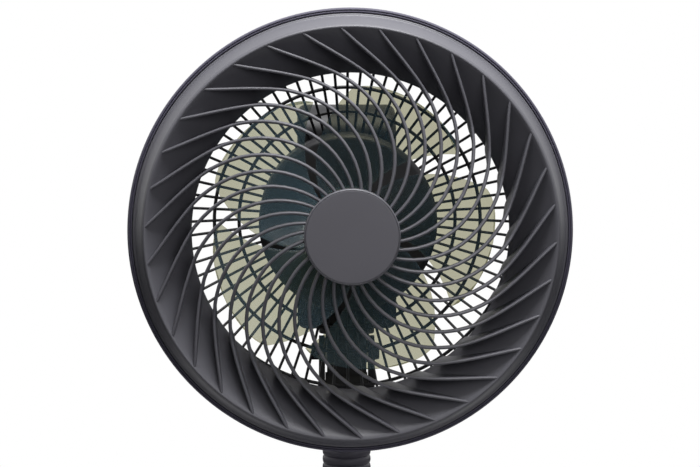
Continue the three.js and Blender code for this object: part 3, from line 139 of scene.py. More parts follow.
links.new(floor_rays.outputs["Is Camera Ray"], glow_seen.inputs[0])
links.new(glow_level.outputs["Result"], glow_seen.inputs[1])
glow = nodes.new("ShaderNodeEmission")
links.new(glow_seen.outputs["Value"], glow.inputs["Strength"])
both = nodes.new("ShaderNodeAddShader")
links.new(paint.outputs["BSDF"], both.inputs[0])
links.new(glow.outputs["Emission"], both.inputs[1])
floor_output = nodes.new("ShaderNodeOutputMaterial")
links.new(both.outputs["Shader"], floor_output.inputs["Surface"])

floor_bm = bmesh.new()
bmesh.ops.create_circle(floor_bm, cap_ends=True, segments=96, radius=FLOOR_RADIUS)
floor_mesh = bpy.data.meshes.new("floor")
floor_bm.to_mesh(floor_mesh)
floor_bm.free()
floor_mesh.materials.append(floor_material)
floor = bpy.data.objects.new("floor", floor_mesh)
bpy.context.scene.collection.objects.link(floor)

# ---------------------------------------------------------------- base shell
# The foot of the stand is one moulded dome of dark plastic, with a raised seat for the neck, a
# round pad for the speed knob and a fine parting groove above its edge.

STAND_COLOUR = (0.070, 0.066, 0.088)
BASE_RADIUS = 130
BASE_Y = 0.0285
NECK_Y = 0.0485
KNOB_Y = -0.0575
MM = 0.001


def moulded(name, colour, roughness, grain=0.10, specular=0.4, speckle=0.06):
    """Moulded plastic: a fine spark-eroded grain, and slow drifts of tone and of gloss."""
    material = bpy.data.materials.new(name)
    material.use_nodes = True
    nodes = material.node_tree.nodes
    links = material.node_tree.links
    surface = nodes["Principled BSDF"]
    surface.inputs["Specular IOR Level"].default_value = specular
    place = nodes.new("ShaderNodeTexCoord")
    tone = nodes.new("ShaderNodeTexNoise")
    tone.inputs["Scale"].default_value = 9
    tone.inputs["Detail"].default_value = 4
    links.new(place.outputs["Object"], tone.inputs["Vector"])
    shades = nodes.new("ShaderNodeValToRGB")
    shades.color_ramp.elements[0].position = 0.3
    shades.color_ramp.elements[1].position = 0.7
    shades.color_ramp.elements[0].color = (*[c * (1 - speckle) for c in colour], 1)
    shades.color_ramp.elements[1].color = (*[c * (1 + speckle) for c in colour], 1)
    links.new(tone.outputs["Fac"], shades.inputs["Fac"])
    links.new(shades.outputs["Color"], surface.inputs["Base Color"])
    gloss = nodes.new("ShaderNodeTexNoise")
    gloss.inputs["Scale"].default_value = 45
    gloss.inputs["Detail"].default_value = 3
    links.new(place.outputs["Object"], gloss.inputs["Vector"])
    wear = nodes.new("ShaderNodeMapRange")
    wear.inputs["To Min"].default_value = roughness - 0.05
    wear.inputs["To Max"].default_value = roughness + 0.07
    links.new(gloss.outputs["Fac"], wear.inputs["Value"])
    links.new(wear.outputs["Result"], surface.inputs["Roughness"])
    pits = nodes.new("ShaderNodeTexNoise")
    pits.inputs["Scale"].default_value = 1900
    pits.inputs["Detail"].default_value = 2
    links.new(place.outputs["Object"], pits.inputs["Vector"])
    bump = nodes.new("ShaderNodeBump")
    bump.inputs["Strength"].default_value = grain
    bump.inputs["Distance"].default_value = 0.0003
    links.new(pits.outputs["Fac"], bump.inputs["Height"])
    links.new(bump.outputs["Normal"], surface.inputs["Normal"])
    return material


def eased(outline, radius, count=4):
    """Rounds the corners of an outline, but not its two ends."""
    points = [Vector(point) for point in outline]
    rounded = [points[0]]
    for before, corner, after in zip(points, points[1:], points[2:]):
        start = corner + (before - corner) * min(0.48, radius / (before - corner).length)
        end = corner + (after - corner) * min(0.48, radius / (after - corner).length)
        for i in range(count + 1):
            t = i / count
            rounded.append(start * (1 - t) ** 2 + corner * 2 * t * (1 - t) + end * t ** 2)
    return rounded + [points[-1]]


def turned(bm, outline, count=96):
    """Spins an outline of radius and height about Z."""
    corners = [bm.verts.new((radius, 0, height)) for radius, height in outline]
    edges = [bm.edges.new(pair) for pair in zip(corners, corners[1:])]
    bmesh.ops.spin(
        bm, geom=corners + edges, cent=(0, 0, 0), axis=(0, 0, 1), dvec=(0, 0, 0),
        angle=2 * math.pi, steps=count, use_merge=True, use_normal_flip=False,
        use_duplicate=False,
    )
    bmesh.ops.remove_doubles(bm, verts=bm.verts[:], dist=1e-5)


def finished(name, bm, place, material, body, slot, *stands_for, crease=32):
    """Sets a piece drawn in millimetres in its place, smooth apart from its creases."""
    bmesh.ops.transform(bm, matrix=place, verts=bm.verts[:])
    bmesh.ops.recalc_face_normals(bm, faces=bm.faces[:])
    for face in bm.faces:
        face.smooth = True
    for edge in bm.edges:
        if len(edge.link_faces) == 2 and edge.calc_face_angle() > math.radians(crease):
            edge.smooth = False
    mesh = bpy.data.meshes.new(name)
    bm.to_mesh(mesh)
    bm.free()
    mesh.materials.append(material)
    obj = bpy.data.objects.new(name, mesh)
    bpy.context.scene.collection.objects.link(obj)
    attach(obj, body)
    if stands_for:
        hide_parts(*stands_for)


def joined(bm, other):
    """Moves what other holds into bm."""
    carrier = bpy.data.meshes.new("part")
    other.to_mesh(carrier)
    other.free()
    bm.from_mesh(carrier)


def standing(y):
    """Where a stand piece goes: drawn in millimetres above the table, at a distance back."""
    return Matrix.Translation((0, y, 0)) @ Matrix.Scale(MM, 4)


stand_plastic = moulded("stand_plastic", STAND_COLOUR, 0.42, grain=0.12)

dome = [(BASE_RADIUS * math.cos(a) ** 0.8, 14 + 19 * math.sin(a) ** 1.3)
        for a in [math.radians(step) for step in range(4, 88, 3)]]
base_bm = bmesh.new()
turned(base_bm, eased([
    (0, 5.4), (127.4, 5.4), (127.4, 3.0), (BASE_RADIUS, 3.0), (BASE_RADIUS, 9.6),
    (BASE_RADIUS - 0.9, 10.0), (BASE_RADIUS - 0.9, 10.8), (BASE_RADIUS, 11.2),
    (BASE_RADIUS, 13.6), *dome[:1],
], 0.6, 3) + dome + [(0, 33)], 128)
neck_seat = bmesh.new()
turned(neck_seat, eased([
    (17.4, 24), (17.4, 35.9), (36.4, 35.9), (39, 34.6), (39.2, 30), (30, 26),
], 1.2, 3), 96)
bmesh.ops.translate(neck_seat, vec=(0, 20, 0), verts=neck_seat.verts[:])
knob_pad = bmesh.new()
turned(knob_pad, eased([
    (3.4, 24), (3.4, 31), (20.5, 31), (22.6, 30.4), (23, 22.2), (3.4, 22.2),
], 0.9, 3), 72)
bmesh.ops.translate(knob_pad, vec=(0, -86, 0), verts=knob_pad.verts[:])
joined(base_bm, neck_seat)
joined(base_bm, knob_pad)
finished("base_dome", base_bm, standing(BASE_Y), stand_plastic, "stand", "stand_plastic",
         "base_shell")

# ---------------------------------------------------------------- underside and inside of base
# A black plate closes the dome over an iron weight, with four rubber feet below it. The run
# capacitor stands on the plate, the rotary switch is fixed under the knob's pad, and a rubber gland
# sits inside the back edge.

FOOT_CIRCLE = 0.106


def cast(name, colour, roughness, scale, depth, metallic):
    """Rough metal or rubber: lumps and pits in the surface and in its tone."""
    material = bpy.data.materials.new(name)
    material.use_nodes = True
    nodes = material.node_tree.nodes
    links = material.node_tree.links
    surface = nodes["Principled BSDF"]
    surface.inputs["Metallic"].default_value = metallic
    place = nodes.new("ShaderNodeTexCoord")
    lumps = nodes.new("ShaderNodeTexNoise")
    lumps.inputs["Scale"].default_value = scale
    lumps.inputs["Detail"].default_value = 6
    links.new(place.outputs["Object"], lumps.inputs["Vector"])
    shades = nodes.new("ShaderNodeValToRGB")
    shades.color_ramp.elements[0].color = (*[c * 0.75 for c in colour], 1)
    shades.color_ramp.elements[1].color = (*[c * 1.25 for c in colour], 1)
    links.new(lumps.outputs["Fac"], shades.inputs["Fac"])
    links.new(shades.outputs["Color"], surface.inputs["Base Color"])
    wear = nodes.new("ShaderNodeMapRange")
    wear.inputs["To Min"].default_value = roughness - 0.1
    wear.inputs["To Max"].default_value = roughness + 0.1
    links.new(lumps.outputs["Fac"], wear.inputs["Value"])
    links.new(wear.outputs["Result"], surface.inputs["Roughness"])
    bump = nodes.new("ShaderNodeBump")
    bump.inputs["Strength"].default_value = 0.3
    bump.inputs["Distance"].default_value = depth
    links.new(lumps.outputs["Fac"], bump.inputs["Height"])
    links.new(bump.outputs["Normal"], surface.inputs["Normal"])
    return material


def dressed(material, *nodes_of_frame):
    """Gives carried-over CAD nodes a material of their own."""
    for node in nodes_of_frame:
        for material_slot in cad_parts[node].material_slots:
            material_slot.link = "OBJECT"
            material_slot.material = material


black_plastic = moulded("black_plastic", (0.0095, 0.0095, 0.0115), 0.45, grain=0.14, specular=0.25)
foot_rubber = cast("foot_rubber", (0.012, 0.012, 0.012), 0.82, 700, 0.0002, 0)
weight_iron = cast("weight_iron", (0.05, 0.048, 0.046), 0.62, 320, 0.0006, 0.8)

dressed(black_plastic, "base_plate", "rotary_switch", "run_capacitor")
dressed(weight_iron, "base_weight")
dressed(foot_rubber, "cord_gland")
for number, turn in enumerate((45, 135, 225, 315), start=1):
    foot_bm = bmesh.new()
    turned(foot_bm, eased([
        (0, 0.5), (4.4, 0.5), (5.0, 0.0), (8.4, 0.0), (9, 0.7), (9, 2.65), (0, 2.65),
    ], 0.4, 3), 48)
    spot = Matrix.Translation((
        FOOT_CIRCLE * math.cos(math.radians(turn)),
        BASE_Y + FOOT_CIRCLE * math.sin(math.radians(turn)), 0,
    ))
    finished(f"rubber_foot_{number}", foot_bm, spot @ Matrix.Scale(MM, 4), foot_rubber,
             "stand", "rubber", f"foot_{number}")

# ---------------------------------------------------------------- speed knob
# A moulded grey cap with a finger grip round its side and a pale pointer line, on a thin stem
# that drops into the switch. Pale numerals 0 to 3 are printed round it on the pad.

KNOB_COLOUR = (0.115, 0.112, 0.13)
GRIP_COUNT = 30
GRIP_DEPTH = 0.022
NUMERAL_SIZE = 4.6
NUMERAL_RADIUS = 20.6
NUMERAL_STEP = math.radians(-45)
badge_plastic = moulded("badge_plastic", KNOB_COLOUR, 0.5, grain=0.10)
mark_paint = moulded("mark_paint", (0.62, 0.62, 0.6), 0.55, grain=0.04)

knob_bm = bmesh.new()
turned(knob_bm, eased([
    (0, 31.4), (18, 31.4), (18, 33.6), (16.4, 34.6), (15.2, 42.2), (13.2, 44), (0, 43.2),
], 0.9, 4), 180)
for vertex in knob_bm.verts:
    if 34.4 < vertex.co.z < 43.2 and vertex.co.xy.length > 12:
        grip = 1 + GRIP_DEPTH * math.cos(GRIP_COUNT * math.atan2(vertex.co.y, vertex.co.x))
        vertex.co.xy *= grip
turned(knob_bm, [(3, 31.6), (3, 16.8), (0, 16.8)], 24)
finished("knob_cap", knob_bm, standing(KNOB_Y), badge_plastic, "knob", "knob_plastic",
         "speed_knob")

pointer_bm = bmesh.new()
bmesh.ops.create_cube(pointer_bm, size=1)
bmesh.ops.scale(pointer_bm, vec=(1.8, 10.5, 0.6), verts=pointer_bm.verts[:])
bmesh.ops.translate(pointer_bm, vec=(0, -7.0, 43.55), verts=pointer_bm.verts[:])
bmesh.ops.bevel(pointer_bm, geom=pointer_bm.edges[:], offset=0.12, offset_type="OFFSET",
                affect="EDGES", segments=2, profile=0.5, material=-1)
finished("knob_pointer", pointer_bm, standing(KNOB_Y), mark_paint, "knob", "knob_plastic")

for number in range(4):
    numeral = bpy.data.curves.new(f"numeral_{number}", "FONT")
    numeral.body = str(number)
    numeral.size = NUMERAL_SIZE
    numeral.align_x = "CENTER"
    numeral.align_y = "CENTER"
    numeral.extrude = 0.15
    numeral_object = bpy.data.objects.new(f"numeral_{number}", numeral)
    bpy.context.scene.collection.objects.link(numeral_object)
    drawn = bpy.data.meshes.new_from_object(
        numeral_object.evaluated_get(bpy.context.evaluated_depsgraph_get()))
    bpy.data.objects.remove(numeral_object)
    numeral_bm = bmesh.new()
    numeral_bm.from_mesh(drawn)
    bmesh.ops.transform(
        numeral_bm, verts=numeral_bm.verts[:],
        matrix=Matrix.Rotation(NUMERAL_STEP * number, 4, "Z")
        @ Matrix.Translation((0, -NUMERAL_RADIUS, 31.1)))
    finished(f"dial_{number}", numeral_bm, standing(KNOB_Y), mark_paint, "stand",
             "stand_plastic")

# ---------------------------------------------------------------- neck
# A black stem carries the head, clamped by a steel nut in the base. A flared plastic sleeve with six
# soft ribs hides it, and above it the stem opens into the fork of the tilt joint. A rubber saddle
# lies in the bottom of the fork, and a flat black collar goes round the pivot.

SLEEVE_TOP = 134
RIB_PITCH = 7
RIB_COUNT = 6
TILT_HEIGHT = 212
COLLAR_FLATTENING = 0.72
SADDLE_RADIUS = 24.5
SADDLE_LEAN = math.radians(33.1)
SADDLE_BOTTOM = 184.4

zinc = cast("zinc_sheet", (0.42, 0.43, 0.45), 0.34, 130, 0.00008, 1)
steel = cast("bright_steel", (0.5, 0.51, 0.53), 0.24, 240, 0.00004, 1)
blackened_steel = cast("blackened_steel", (0.035, 0.035, 0.04), 0.35, 240, 0.00004, 0.9)
bronze = cast("sintered_bronze", (0.36, 0.21, 0.09), 0.45, 420, 0.00008, 1)

ribs_start = SLEEVE_TOP - RIB_COUNT * RIB_PITCH
sleeve_outline = [(17.4, 36.3), (36, 36.3), (36, 37.4)]
for step in range(1, 25):
    t = step / 24
    sleeve_outline.append((20.1 + 15.9 * (1 - t) ** 3, 37.4 + (ribs_start - 37.4) * t))
for step in range(1, RIB_COUNT * 10 + 1):
    t = step / 10
    swell = abs(math.sin(math.pi * t)) ** 0.55
    sleeve_outline.append((20.0 + 1.2 * swell, ribs_start + t * RIB_PITCH))
sleeve_outline += [(19.2, SLEEVE_TOP), (17.4, SLEEVE_TOP), (17.4, 36.3)]
sleeve_bm = bmesh.new()
turned(sleeve_bm, sleeve_outline, 96)
finished("ribbed_sleeve", sleeve_bm, standing(NECK_Y), stand_plastic, "stand",
         "stand_plastic", "neck_sleeve")
dressed(black_plastic, "neck_column")
dressed(steel, "neck_nut", "pivot_pin", "pivot_clip", "swing_link")
dressed(blackened_steel, "tilt_bolt", "tilt_nut")
dressed(zinc, "tilt_washer_left", "tilt_washer_right", "head_carrier", "swing_motor")
dressed(black_plastic, "tilt_bracket")
dressed(bronze, "thrust_washer", "pivot_bush")

collar_bm = bmesh.new()
turned(collar_bm, eased([
    (17, 228.3), (24.2, 228.3), (24.2, 233.5), (17, 233.5), (17, 228.3),
], 0.9, 4), 72)
bmesh.ops.scale(collar_bm, vec=(1, COLLAR_FLATTENING, 1), verts=collar_bm.verts[:])
finished("pivot_collar", collar_bm, standing(NECK_Y), black_plastic, "tilt", "black_plastic")

saddle_side = [(-13.4, SADDLE_BOTTOM), (13.4, SADDLE_BOTTOM)]
for step in range(-8, 9):
    lean = -SADDLE_LEAN * step / 8
    saddle_side.append(
        (SADDLE_RADIUS * math.sin(lean), TILT_HEIGHT - SADDLE_RADIUS * math.cos(lean)))
saddle_bm = bmesh.new()
saddle_face = saddle_bm.faces.new([saddle_bm.verts.new((-18.6, y, z)) for y, z in saddle_side])
raised = bmesh.ops.extrude_face_region(saddle_bm, geom=[saddle_face], use_keep_orig=True)
bmesh.ops.translate(
    saddle_bm, vec=(37.2, 0, 0),
    verts=[item for item in raised["geom"] if isinstance(item, bmesh.types.BMVert)])
finished("tilt_saddle", saddle_bm, standing(NECK_Y), foot_rubber, "stand", "rubber")
dressed(badge_plastic, "swing_crank")

# ---------------------------------------------------------------- motor
# A black drum with a sloped snout hides the motor. Inside are two pressed brackets with bronze
# bushes, a stack of steel sheets between copper windings, the rotor and its ground shaft.


def on_head():
    """Where a head piece goes: drawn in millimetres, +Z forward from the plane of the rim."""
    return (Matrix.Translation((0, RIM_PLANE_Y, HUB_AXIS_Z))
            @ Matrix.Rotation(math.pi / 2, 4, "X") @ Matrix.Scale(MM, 4))


copper = cast("enamelled_copper", (0.42, 0.15, 0.06), 0.36, 900, 0.0002, 0.8)
motor_bm = bmesh.new()
turned(motor_bm, eased([
    (5.5, -59), (8, -59), (11, -62), (22, -83), (72.2, -83), (75.7, -86.5), (75.7, -130.7),
    (68, -130.7), (68, -128.2), (73.2, -128.2), (73.2, -85.5), (19.5, -85.5), (5.5, -61.5),
    (5.5, -59),
], 1.6, 4), 96)
finished("motor_drum", motor_bm, on_head(), black_plastic, "head", "black_plastic",
         "motor_front_cover")
dressed(zinc, "motor_bracket_front", "motor_bracket_rear", "rotor")
dressed(steel, "stator_core", "motor_shaft", "drive_pin")
dressed(copper, "winding_front", "winding_rear")
dressed(bronze, "shaft_bush_front", "shaft_bush_rear")

# ---------------------------------------------------------------- rear guard
# A black cage in one moulding: 72 slim bars run from a seat ring on the motor to the flange at the
# rim, over three rings that tie them together.

BAR_COUNT = 72
BAR_HALF_WIDTH = 1.2
BAR_HALF_DEPTH = 1.45
RING_WIRE = 1.5


def mapped(bm, along, around, place):
    """A grid of faces whose corners go where place says, for shares u along and v around."""
    grid = bmesh.ops.create_grid(bm, x_segments=along, y_segments=around, size=1)["verts"]
    for vertex in grid:
        vertex.co = place((vertex.co.x + 1) / 2, (vertex.co.y + 1) / 2)
    bmesh.ops.remove_doubles(bm, verts=grid, dist=1e-4)
    open_edges = [edge for edge in bm.edges if edge.is_boundary]
    bmesh.ops.holes_fill(bm, edges=open_edges, sides=0)


def ringed(bm, count):
    """Repeats what bm holds evenly about Z, count times in all."""
    bmesh.ops.spin(
        bm, geom=bm.verts[:] + bm.edges[:] + bm.faces[:], cent=(0, 0, 0), axis=(0, 0, 1),
        dvec=(0, 0, 0), angle=2 * math.pi * (count - 1) / count, steps=count - 1,
        use_merge=False, use_normal_flip=False, use_duplicate=True,
    )


bar_path = eased([
    (173.6, -1.7), (171.8, -8), (165.3, -48.5), (141.2, -99.2), (114.2, -115.6),
    (93.5, -127.6), (78, -132.4), (69.6, -132.5),
], 9, 4)


def bar_place(u, v):
    index = round(u * (len(bar_path) - 1))
    here = bar_path[index]
    before = bar_path[max(index - 1, 0)]
    after = bar_path[min(index + 1, len(bar_path) - 1)]
    along = (after - before).normalized()
    turn = 2 * math.pi * v
    out = BAR_HALF_DEPTH * math.sin(turn)
    return (here.x - along.y * out, BAR_HALF_WIDTH * math.cos(turn), here.y + along.x * out)


cage_bm = bmesh.new()
mapped(cage_bm, len(bar_path) - 1, 8, bar_place)
ringed(cage_bm, BAR_COUNT)
for radius, depth in ((141.0, 99.0), (114.2, 115.4), (93.4, 127.2)):
    loop = [(radius + RING_WIRE * math.cos(math.radians(a)),
             -depth + RING_WIRE * math.sin(math.radians(a))) for a in range(0, 361, 45)]
    turned(cage_bm, loop, 144)
turned(cage_bm, eased([
    (172.5, -0.2), (177, -0.2), (177, -3.1), (172.5, -3.1), (172.5, -0.2),
], 0.5, 2), 144)
turned(cage_bm, eased([
    (68, -131), (76, -131), (76, -134), (68, -134), (68, -131),
], 0.6, 2), 96)
finished("rear_cage", cage_bm, on_head(), black_plastic, "head", "black_plastic", "rear_guard",
         crease=50)

# ---------------------------------------------------------------- rear cover
# One black moulding behind the cage: a round drum over the motor, with a tall spine whose top
# slopes forward, over the swing drive. Six slots let the motor's warm air out and four screws
# hold it on.

COVER_DEPTH = 70
COVER_MOUTH = -15.7
COVER_BOTTOM = 234.0
COVER_TOP = 428.0
COVER_SHOULDER = COVER_TOP - 27
COVER_MIDDLE = 330
SLOT_PITCH = 9
SLOT_COUNT = 6
SLOT_HALF_HEIGHT = 1.5
SLOT_HALF_WIDTH = 22
SLOT_DEPTH = 9
SCREW_PLACES = ((-31, 264), (31, 264), (-31, 326), (31, 326))


def curve_points(start, first, second, end, count=10):
    """Points of one cubic curve, without its start."""
    a, b, c, d = Vector(start), Vector(first), Vector(second), Vector(end)
    shares = [i / count for i in range(1, count + 1)]
    return [a * (1 - t) ** 3 + b * 3 * t * (1 - t) ** 2 + c * 3 * t * t * (1 - t) + d * t ** 3
            for t in shares]


back = COVER_MOUTH + COVER_DEPTH
heel = COVER_DEPTH / 3
crown = COVER_DEPTH / 2
side_view = [Vector((COVER_MOUTH, COVER_BOTTOM)), Vector((back - heel, COVER_BOTTOM))]
side_view += curve_points(
    (back - heel, COVER_BOTTOM), (back - heel / 4, COVER_BOTTOM),
    (back, COVER_BOTTOM + heel / 2), (back, COVER_BOTTOM + heel))
side_view.append(Vector((back, COVER_MIDDLE)))
side_view += curve_points(
    (back, COVER_MIDDLE), (back, COVER_TOP - crown), (back - crown / 2, COVER_TOP),
    (back - crown, COVER_TOP))
side_view += curve_points(
    (back - crown, COVER_TOP), (COVER_MOUTH + crown / 2, COVER_TOP),
    (COVER_MOUTH, COVER_SHOULDER + 13.5), (COVER_MOUTH, COVER_SHOULDER))

cover_bm = bmesh.new()
side = cover_bm.faces.new([cover_bm.verts.new((-43, point.x, point.y)) for point in side_view])
grown = bmesh.ops.extrude_face_region(cover_bm, geom=[side], use_keep_orig=True)
far = [item for item in grown["geom"] if isinstance(item, bmesh.types.BMVert)]
bmesh.ops.translate(cover_bm, vec=(86, 0, 0), verts=far)
rims = [edge for edge in cover_bm.edges
        if abs(edge.verts[0].co.x - edge.verts[1].co.x) < 1e-4
        and max(edge.verts[0].co.y, edge.verts[1].co.y) > COVER_MOUTH + 0.01]
bmesh.ops.bevel(cover_bm, geom=rims, offset=7.5, offset_type="OFFSET", affect="EDGES",
                segments=5, profile=0.5, material=-1, clamp_overlap=True)
slots = [COVER_MIDDLE + SLOT_PITCH * (number - 2.5) for number in range(SLOT_COUNT)]
cuts = [((x, 0, 0), (1, 0, 0)) for x in (-SLOT_HALF_WIDTH, SLOT_HALF_WIDTH)]
for height in slots:
    cuts += [((0, 0, height + side), (0, 0, 1)) for side in (-SLOT_HALF_HEIGHT, SLOT_HALF_HEIGHT)]
for plane, normal in cuts:
    bmesh.ops.bisect_plane(cover_bm, geom=cover_bm.verts[:] + cover_bm.edges[:]
                           + cover_bm.faces[:], plane_co=plane, plane_no=normal)
slot_faces = [
    face for face in cover_bm.faces
    if face.calc_center_median().y > back - 3
    and abs(face.calc_center_median().x) < SLOT_HALF_WIDTH
    and any(abs(face.calc_center_median().z - z) < SLOT_HALF_HEIGHT for z in slots)
]
sunk = bmesh.ops.extrude_face_region(cover_bm, geom=slot_faces)
floor_of_slots = [item for item in sunk["geom"] if isinstance(item, bmesh.types.BMVert)]
bmesh.ops.delete(cover_bm, geom=slot_faces, context="FACES_ONLY")
bmesh.ops.translate(cover_bm, vec=(0, -SLOT_DEPTH, 0), verts=floor_of_slots)
drum_bm = bmesh.new()
turned(drum_bm, eased([(0, 0), (74, 0), (74, 22), (50, 22.2), (0, 22.2)], 5, 5), 96)
bmesh.ops.transform(
    drum_bm, matrix=Matrix.Translation((0, COVER_MOUTH, COVER_MIDDLE))
    @ Matrix.Rotation(-math.pi / 2, 4, "X"), verts=drum_bm.verts[:])
joined(cover_bm, drum_bm)
finished("swing_housing", cover_bm, standing(NECK_Y), black_plastic, "head", "black_plastic",
         "rear_cover", crease=40)

for number, (side, height) in enumerate(SCREW_PLACES, start=1):
    screw_bm = bmesh.new()
    turned(screw_bm, eased([(0, -3), (3, -3), (3, 0.1), (1.2, 0.7), (0, 0.7)], 0.4, 3), 32)
    finished(
        f"cover_screw_{number}", screw_bm,
        standing(NECK_Y) @ Matrix.Translation((side, back - 0.5, height))
        @ Matrix.Rotation(-math.pi / 2, 4, "X"),
        blackened_steel, "head", "black_plastic")

# ---------------------------------------------------------------- blade
# Five broad blades of clear tinted plastic are moulded in one piece with a hollow spinner, held
# on the shaft by a black nut. What lies behind shows through them in olive.

BLADE_COUNT = 5
TIP_RADIUS = 118.7
ROOT_RADIUS = 33
BLADE_HALF_THICKNESS = 1.05
CAMBER = 4


def tinted(name):
    """Clear tinted plastic: it passes pale olive light, and its own skin is a glossy teal."""
    material = bpy.data.materials.new(name)
    material.use_nodes = True
    nodes = material.node_tree.nodes
    links = material.node_tree.links
    surface = nodes["Principled BSDF"]
    surface.inputs["Roughness"].default_value = 0.28
    surface.inputs["Specular IOR Level"].default_value = 0.35
    place = nodes.new("ShaderNodeTexCoord")
    cloud = nodes.new("ShaderNodeTexNoise")
    cloud.inputs["Scale"].default_value = 22
    cloud.inputs["Detail"].default_value = 3
    links.new(place.outputs["Object"], cloud.inputs["Vector"])
    skin = nodes.new("ShaderNodeValToRGB")
    skin.color_ramp.elements[0].color = (0.085, 0.155, 0.22, 1)
    skin.color_ramp.elements[1].color = (0.11, 0.185, 0.25, 1)
    links.new(cloud.outputs["Fac"], skin.inputs["Fac"])
    links.new(skin.outputs["Color"], surface.inputs["Base Color"])
    clear = nodes.new("ShaderNodeBsdfTransparent")
    pass_tint = nodes.new("ShaderNodeValToRGB")
    pass_tint.color_ramp.elements[0].color = (0.93, 0.91, 0.77, 1)
    pass_tint.color_ramp.elements[1].color = (0.95, 0.935, 0.80, 1)
    links.new(cloud.outputs["Fac"], pass_tint.inputs["Fac"])
    links.new(pass_tint.outputs["Color"], clear.inputs["Color"])
    blend = nodes.new("ShaderNodeMixShader")
    blend.inputs["Fac"].default_value = 0.32
    links.new(clear.outputs["BSDF"], blend.inputs[1])
    links.new(surface.outputs["BSDF"], blend.inputs[2])
    links.new(blend.outputs["Shader"], nodes["Material Output"].inputs["Surface"])
    return material


def blade_middle(span, chord):
    """The blade's middle surface: span from spinner to tip, chord from leading to trailing edge."""
    leading = 65 + (34 - 65) * span
    trailing = 132 + (90 - 132) * span
    corners = 1 - 0.04 * abs(2 * chord - 1) ** 6
    tip = (TIP_RADIUS - 7 * (1 - chord) ** 2) * corners
    radius = ROOT_RADIUS + (tip - ROOT_RADIUS) * span
    angle = math.radians(leading + (trailing - leading) * chord)
    camber = CAMBER * math.sin(math.pi * chord) * span
    forward = 3 - 45 * (1 - chord) - camber
    return Vector((radius * math.cos(angle), radius * math.sin(angle), forward))


def blade_place(u, v):
    turn = 2 * math.pi * v
    chord = (1 - math.cos(turn)) / 2
    half = BLADE_HALF_THICKNESS * max(-1, min(1, 3 * math.sin(turn)))
    across = blade_middle(u + 0.01, chord) - blade_middle(u - 0.01, chord)
    along = blade_middle(u, chord + 0.01) - blade_middle(u, chord - 0.01)
    return blade_middle(u, chord) + across.cross(along).normalized() * half


blade_bm = bmesh.new()
mapped(blade_bm, 18, 40, blade_place)
ringed(blade_bm, BLADE_COUNT)
tinted_plastic = tinted("tinted_plastic")
finished("blades", blade_bm, on_head(), tinted_plastic, "blade", "blade_plastic", "fan_blade",
         crease=60)
spinner_bm = bmesh.new()
turned(spinner_bm, eased([
    (4.3, 10.5), (28, 10.5), (34, 3.5), (34, -46), (31.5, -46), (31.5, 3), (25.5, 8),
    (9, 8), (9, -34), (4.3, -34), (4.3, 10.5),
], 1.5, 4), 72)
finished("spinner", spinner_bm, on_head(), tinted_plastic, "blade", "blade_plastic")
dressed(black_plastic, "blade_nut")

# ---------------------------------------------------------------- front grille
# One charcoal moulding. A conical bezel turns in over a lip to a deep funnel, and 34 spiral fins
# rise from the funnel, thin to slim bars at its throat and sweep on to the hub cup.

FIN_COUNT = 34
FIN_PHASE = -58.5
HUB_RADIUS = 38
THROAT_RADIUS = 128
LIP_RADIUS = 163.8
LIP_FORWARD = 33
WALL = 2.5
FUNNEL_FULLNESS = 0.43
INNER_TURN = 47.5
OUTER_TURN = 19.3
CREST_HALF = 1.25
ROOT_HALF = 1.6


def spiral_turn(radius):
    """Degrees that the spiral has turned at a radius, counted from the hub."""
    inner = (radius - HUB_RADIUS) / (THROAT_RADIUS - HUB_RADIUS)
    if inner <= 1:
        return INNER_TURN * (0.77 * inner + 0.23 * max(inner, 0) ** 2.5)
    outer = (radius - THROAT_RADIUS) / (LIP_RADIUS - THROAT_RADIUS)
    return INNER_TURN + OUTER_TURN * (1.4 * outer - 0.4 * outer ** 2)


def funnel_forward(radius):
    """How far forward the funnel's face lies at a radius: it drops away from a crisp lip."""
    sine = min(1, 1 - (radius - THROAT_RADIUS) / (LIP_RADIUS - THROAT_RADIUS))
    return LIP_FORWARD - (LIP_FORWARD - 2) * (1 - math.sqrt(1 - sine ** 2)) ** FUNNEL_FULLNESS


def fin_crest(radius):
    if radius >= THROAT_RADIUS:
        outer = (radius - THROAT_RADIUS) / (LIP_RADIUS - THROAT_RADIUS)
        return 34 - 1.1 * outer ** 3
    inner = (radius - HUB_RADIUS) / (THROAT_RADIUS - HUB_RADIUS)
    return 52 - 18 * max(inner, 0) ** 2


def fin_root(radius):
    if radius >= THROAT_RADIUS:
        return funnel_forward(radius) - 1.2
    slim = min(1, (THROAT_RADIUS - radius) / 7)
    ease = slim * slim * (3 - 2 * slim)
    return 3.2 + (fin_crest(radius) - 4.2 - 3.2) * ease


fin_radii = [163.6, 162, 159, 155, 151, 147, 143, 139, 135, 132, 130, 128.3, 127.4, 126.4,
             125.4, 124.4, 123.2, 122, 120.8, 118, 113, 107, 101, 94, 87, 80, 73, 66, 59, 52,
             46, 41, 36.6]


def fin_place(u, v):
    radius = fin_radii[round(u * (len(fin_radii) - 1))]
    angle = math.radians(FIN_PHASE + spiral_turn(radius))
    slope = radius * math.radians(spiral_turn(radius + 0.5) - spiral_turn(radius - 0.5))
    heading = angle + math.atan(slope)
    turn = 2 * math.pi * v
    crest, root = fin_crest(radius), fin_root(radius)
    if math.sin(turn) >= -1e-6:
        half, height = CREST_HALF, crest - CREST_HALF + CREST_HALF * math.sin(turn)
    else:
        half, height = ROOT_HALF, root + ROOT_HALF / 2 * (1 + math.sin(turn))
    shift = half * math.cos(turn)
    return (radius * math.cos(angle) - shift * math.sin(heading),
            radius * math.sin(angle) + shift * math.cos(heading), height)


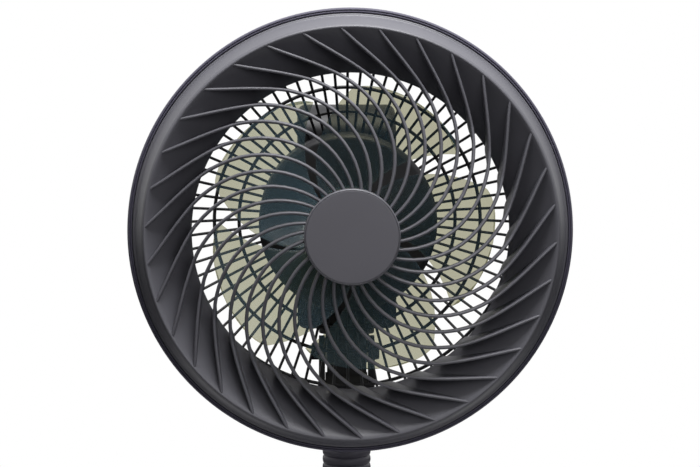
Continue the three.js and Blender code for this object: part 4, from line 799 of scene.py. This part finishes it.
grille_plastic = moulded("grille_plastic", (0.10, 0.099, 0.115), 0.44, grain=0.10, specular=0.4)
grille_bm = bmesh.new()
mapped(grille_bm, len(fin_radii) - 1, 16, fin_place)
ringed(grille_bm, FIN_COUNT)
face_side = []
for i in range(25):
    radius = THROAT_RADIUS + (LIP_RADIUS - THROAT_RADIUS) * (1 - math.sin(i / 24 * math.pi / 2))
    face_side.append(Vector((radius, funnel_forward(radius))))
hidden_side = []
for i in range(23, 1, -1):
    along = (face_side[i + 1] - face_side[i - 1]).normalized()
    hidden_side.append(face_side[i] + WALL * Vector((-along.y, along.x)))
bezel = eased([
    (172.5, 0.3), (177, 0.3), (177, 2.0), (175.2, 2.0), (175.2, 6.9), (173.3, 7.6),
    (166.8, 30.4), (165.2, LIP_FORWARD), (LIP_RADIUS, LIP_FORWARD),
], 0.8, 4)
turned(grille_bm, bezel + face_side[1:] + [(THROAT_RADIUS + WALL, 2)] + hidden_side
       + [(164.6, 30), (171, 8), (172.5, 0.3)], 204)
turned(grille_bm, eased([
    (0, 51.6), (35.5, 51.6), (35.5, 42), (38, 42), (38, 56.2), (37.2, 56.9), (36.8, 56.9),
    (36.6, 54.1), (0, 54.1),
], 0.4, 3), 96)
finished("grille", grille_bm, on_head(), grille_plastic, "head", "guard_plastic",
         "front_guard", crease=48)

# ---------------------------------------------------------------- hub badge
# A plain flat disc of satin grey plastic is pressed into the hub cup.

badge_bm = bmesh.new()
turned(badge_bm, eased([
    (0, 54.4), (36.5, 54.4), (36.6, 56.9), (35.9, 57), (20, 57), (0, 56.9),
], 0.3, 4), 96)
finished("badge_disc", badge_bm, on_head(), badge_plastic, "head", "badge_plastic", "hub_badge")

# ---------------------------------------------------------------- rim band
# A dark satin hoop of plastic is clipped round both guards. It closes the joint between them, and
# a fine groove runs in its front edge.

rim_plastic = moulded("rim_plastic", (0.074, 0.070, 0.100), 0.5, grain=0.05, specular=0.25)
band_bm = bmesh.new()
turned(band_bm, eased([
    (176, 2.3), (177.2, 2.3), (177.2, -3.45), (175.4, -3.45), (175.4, -5.2),
    (178.6, -5.45), (180, -2.5), (180, 1.2), (179.1, 3.9), (177.9, 4.2), (177.8, 3.2),
    (177.3, 3.2), (177.2, 4.3), (176.1, 4.3), (176, 2.3),
], 0.5, 4), 204)
finished("rim_hoop", band_bm, on_head(), rim_plastic, "head", "rim_plastic", "guard_band")
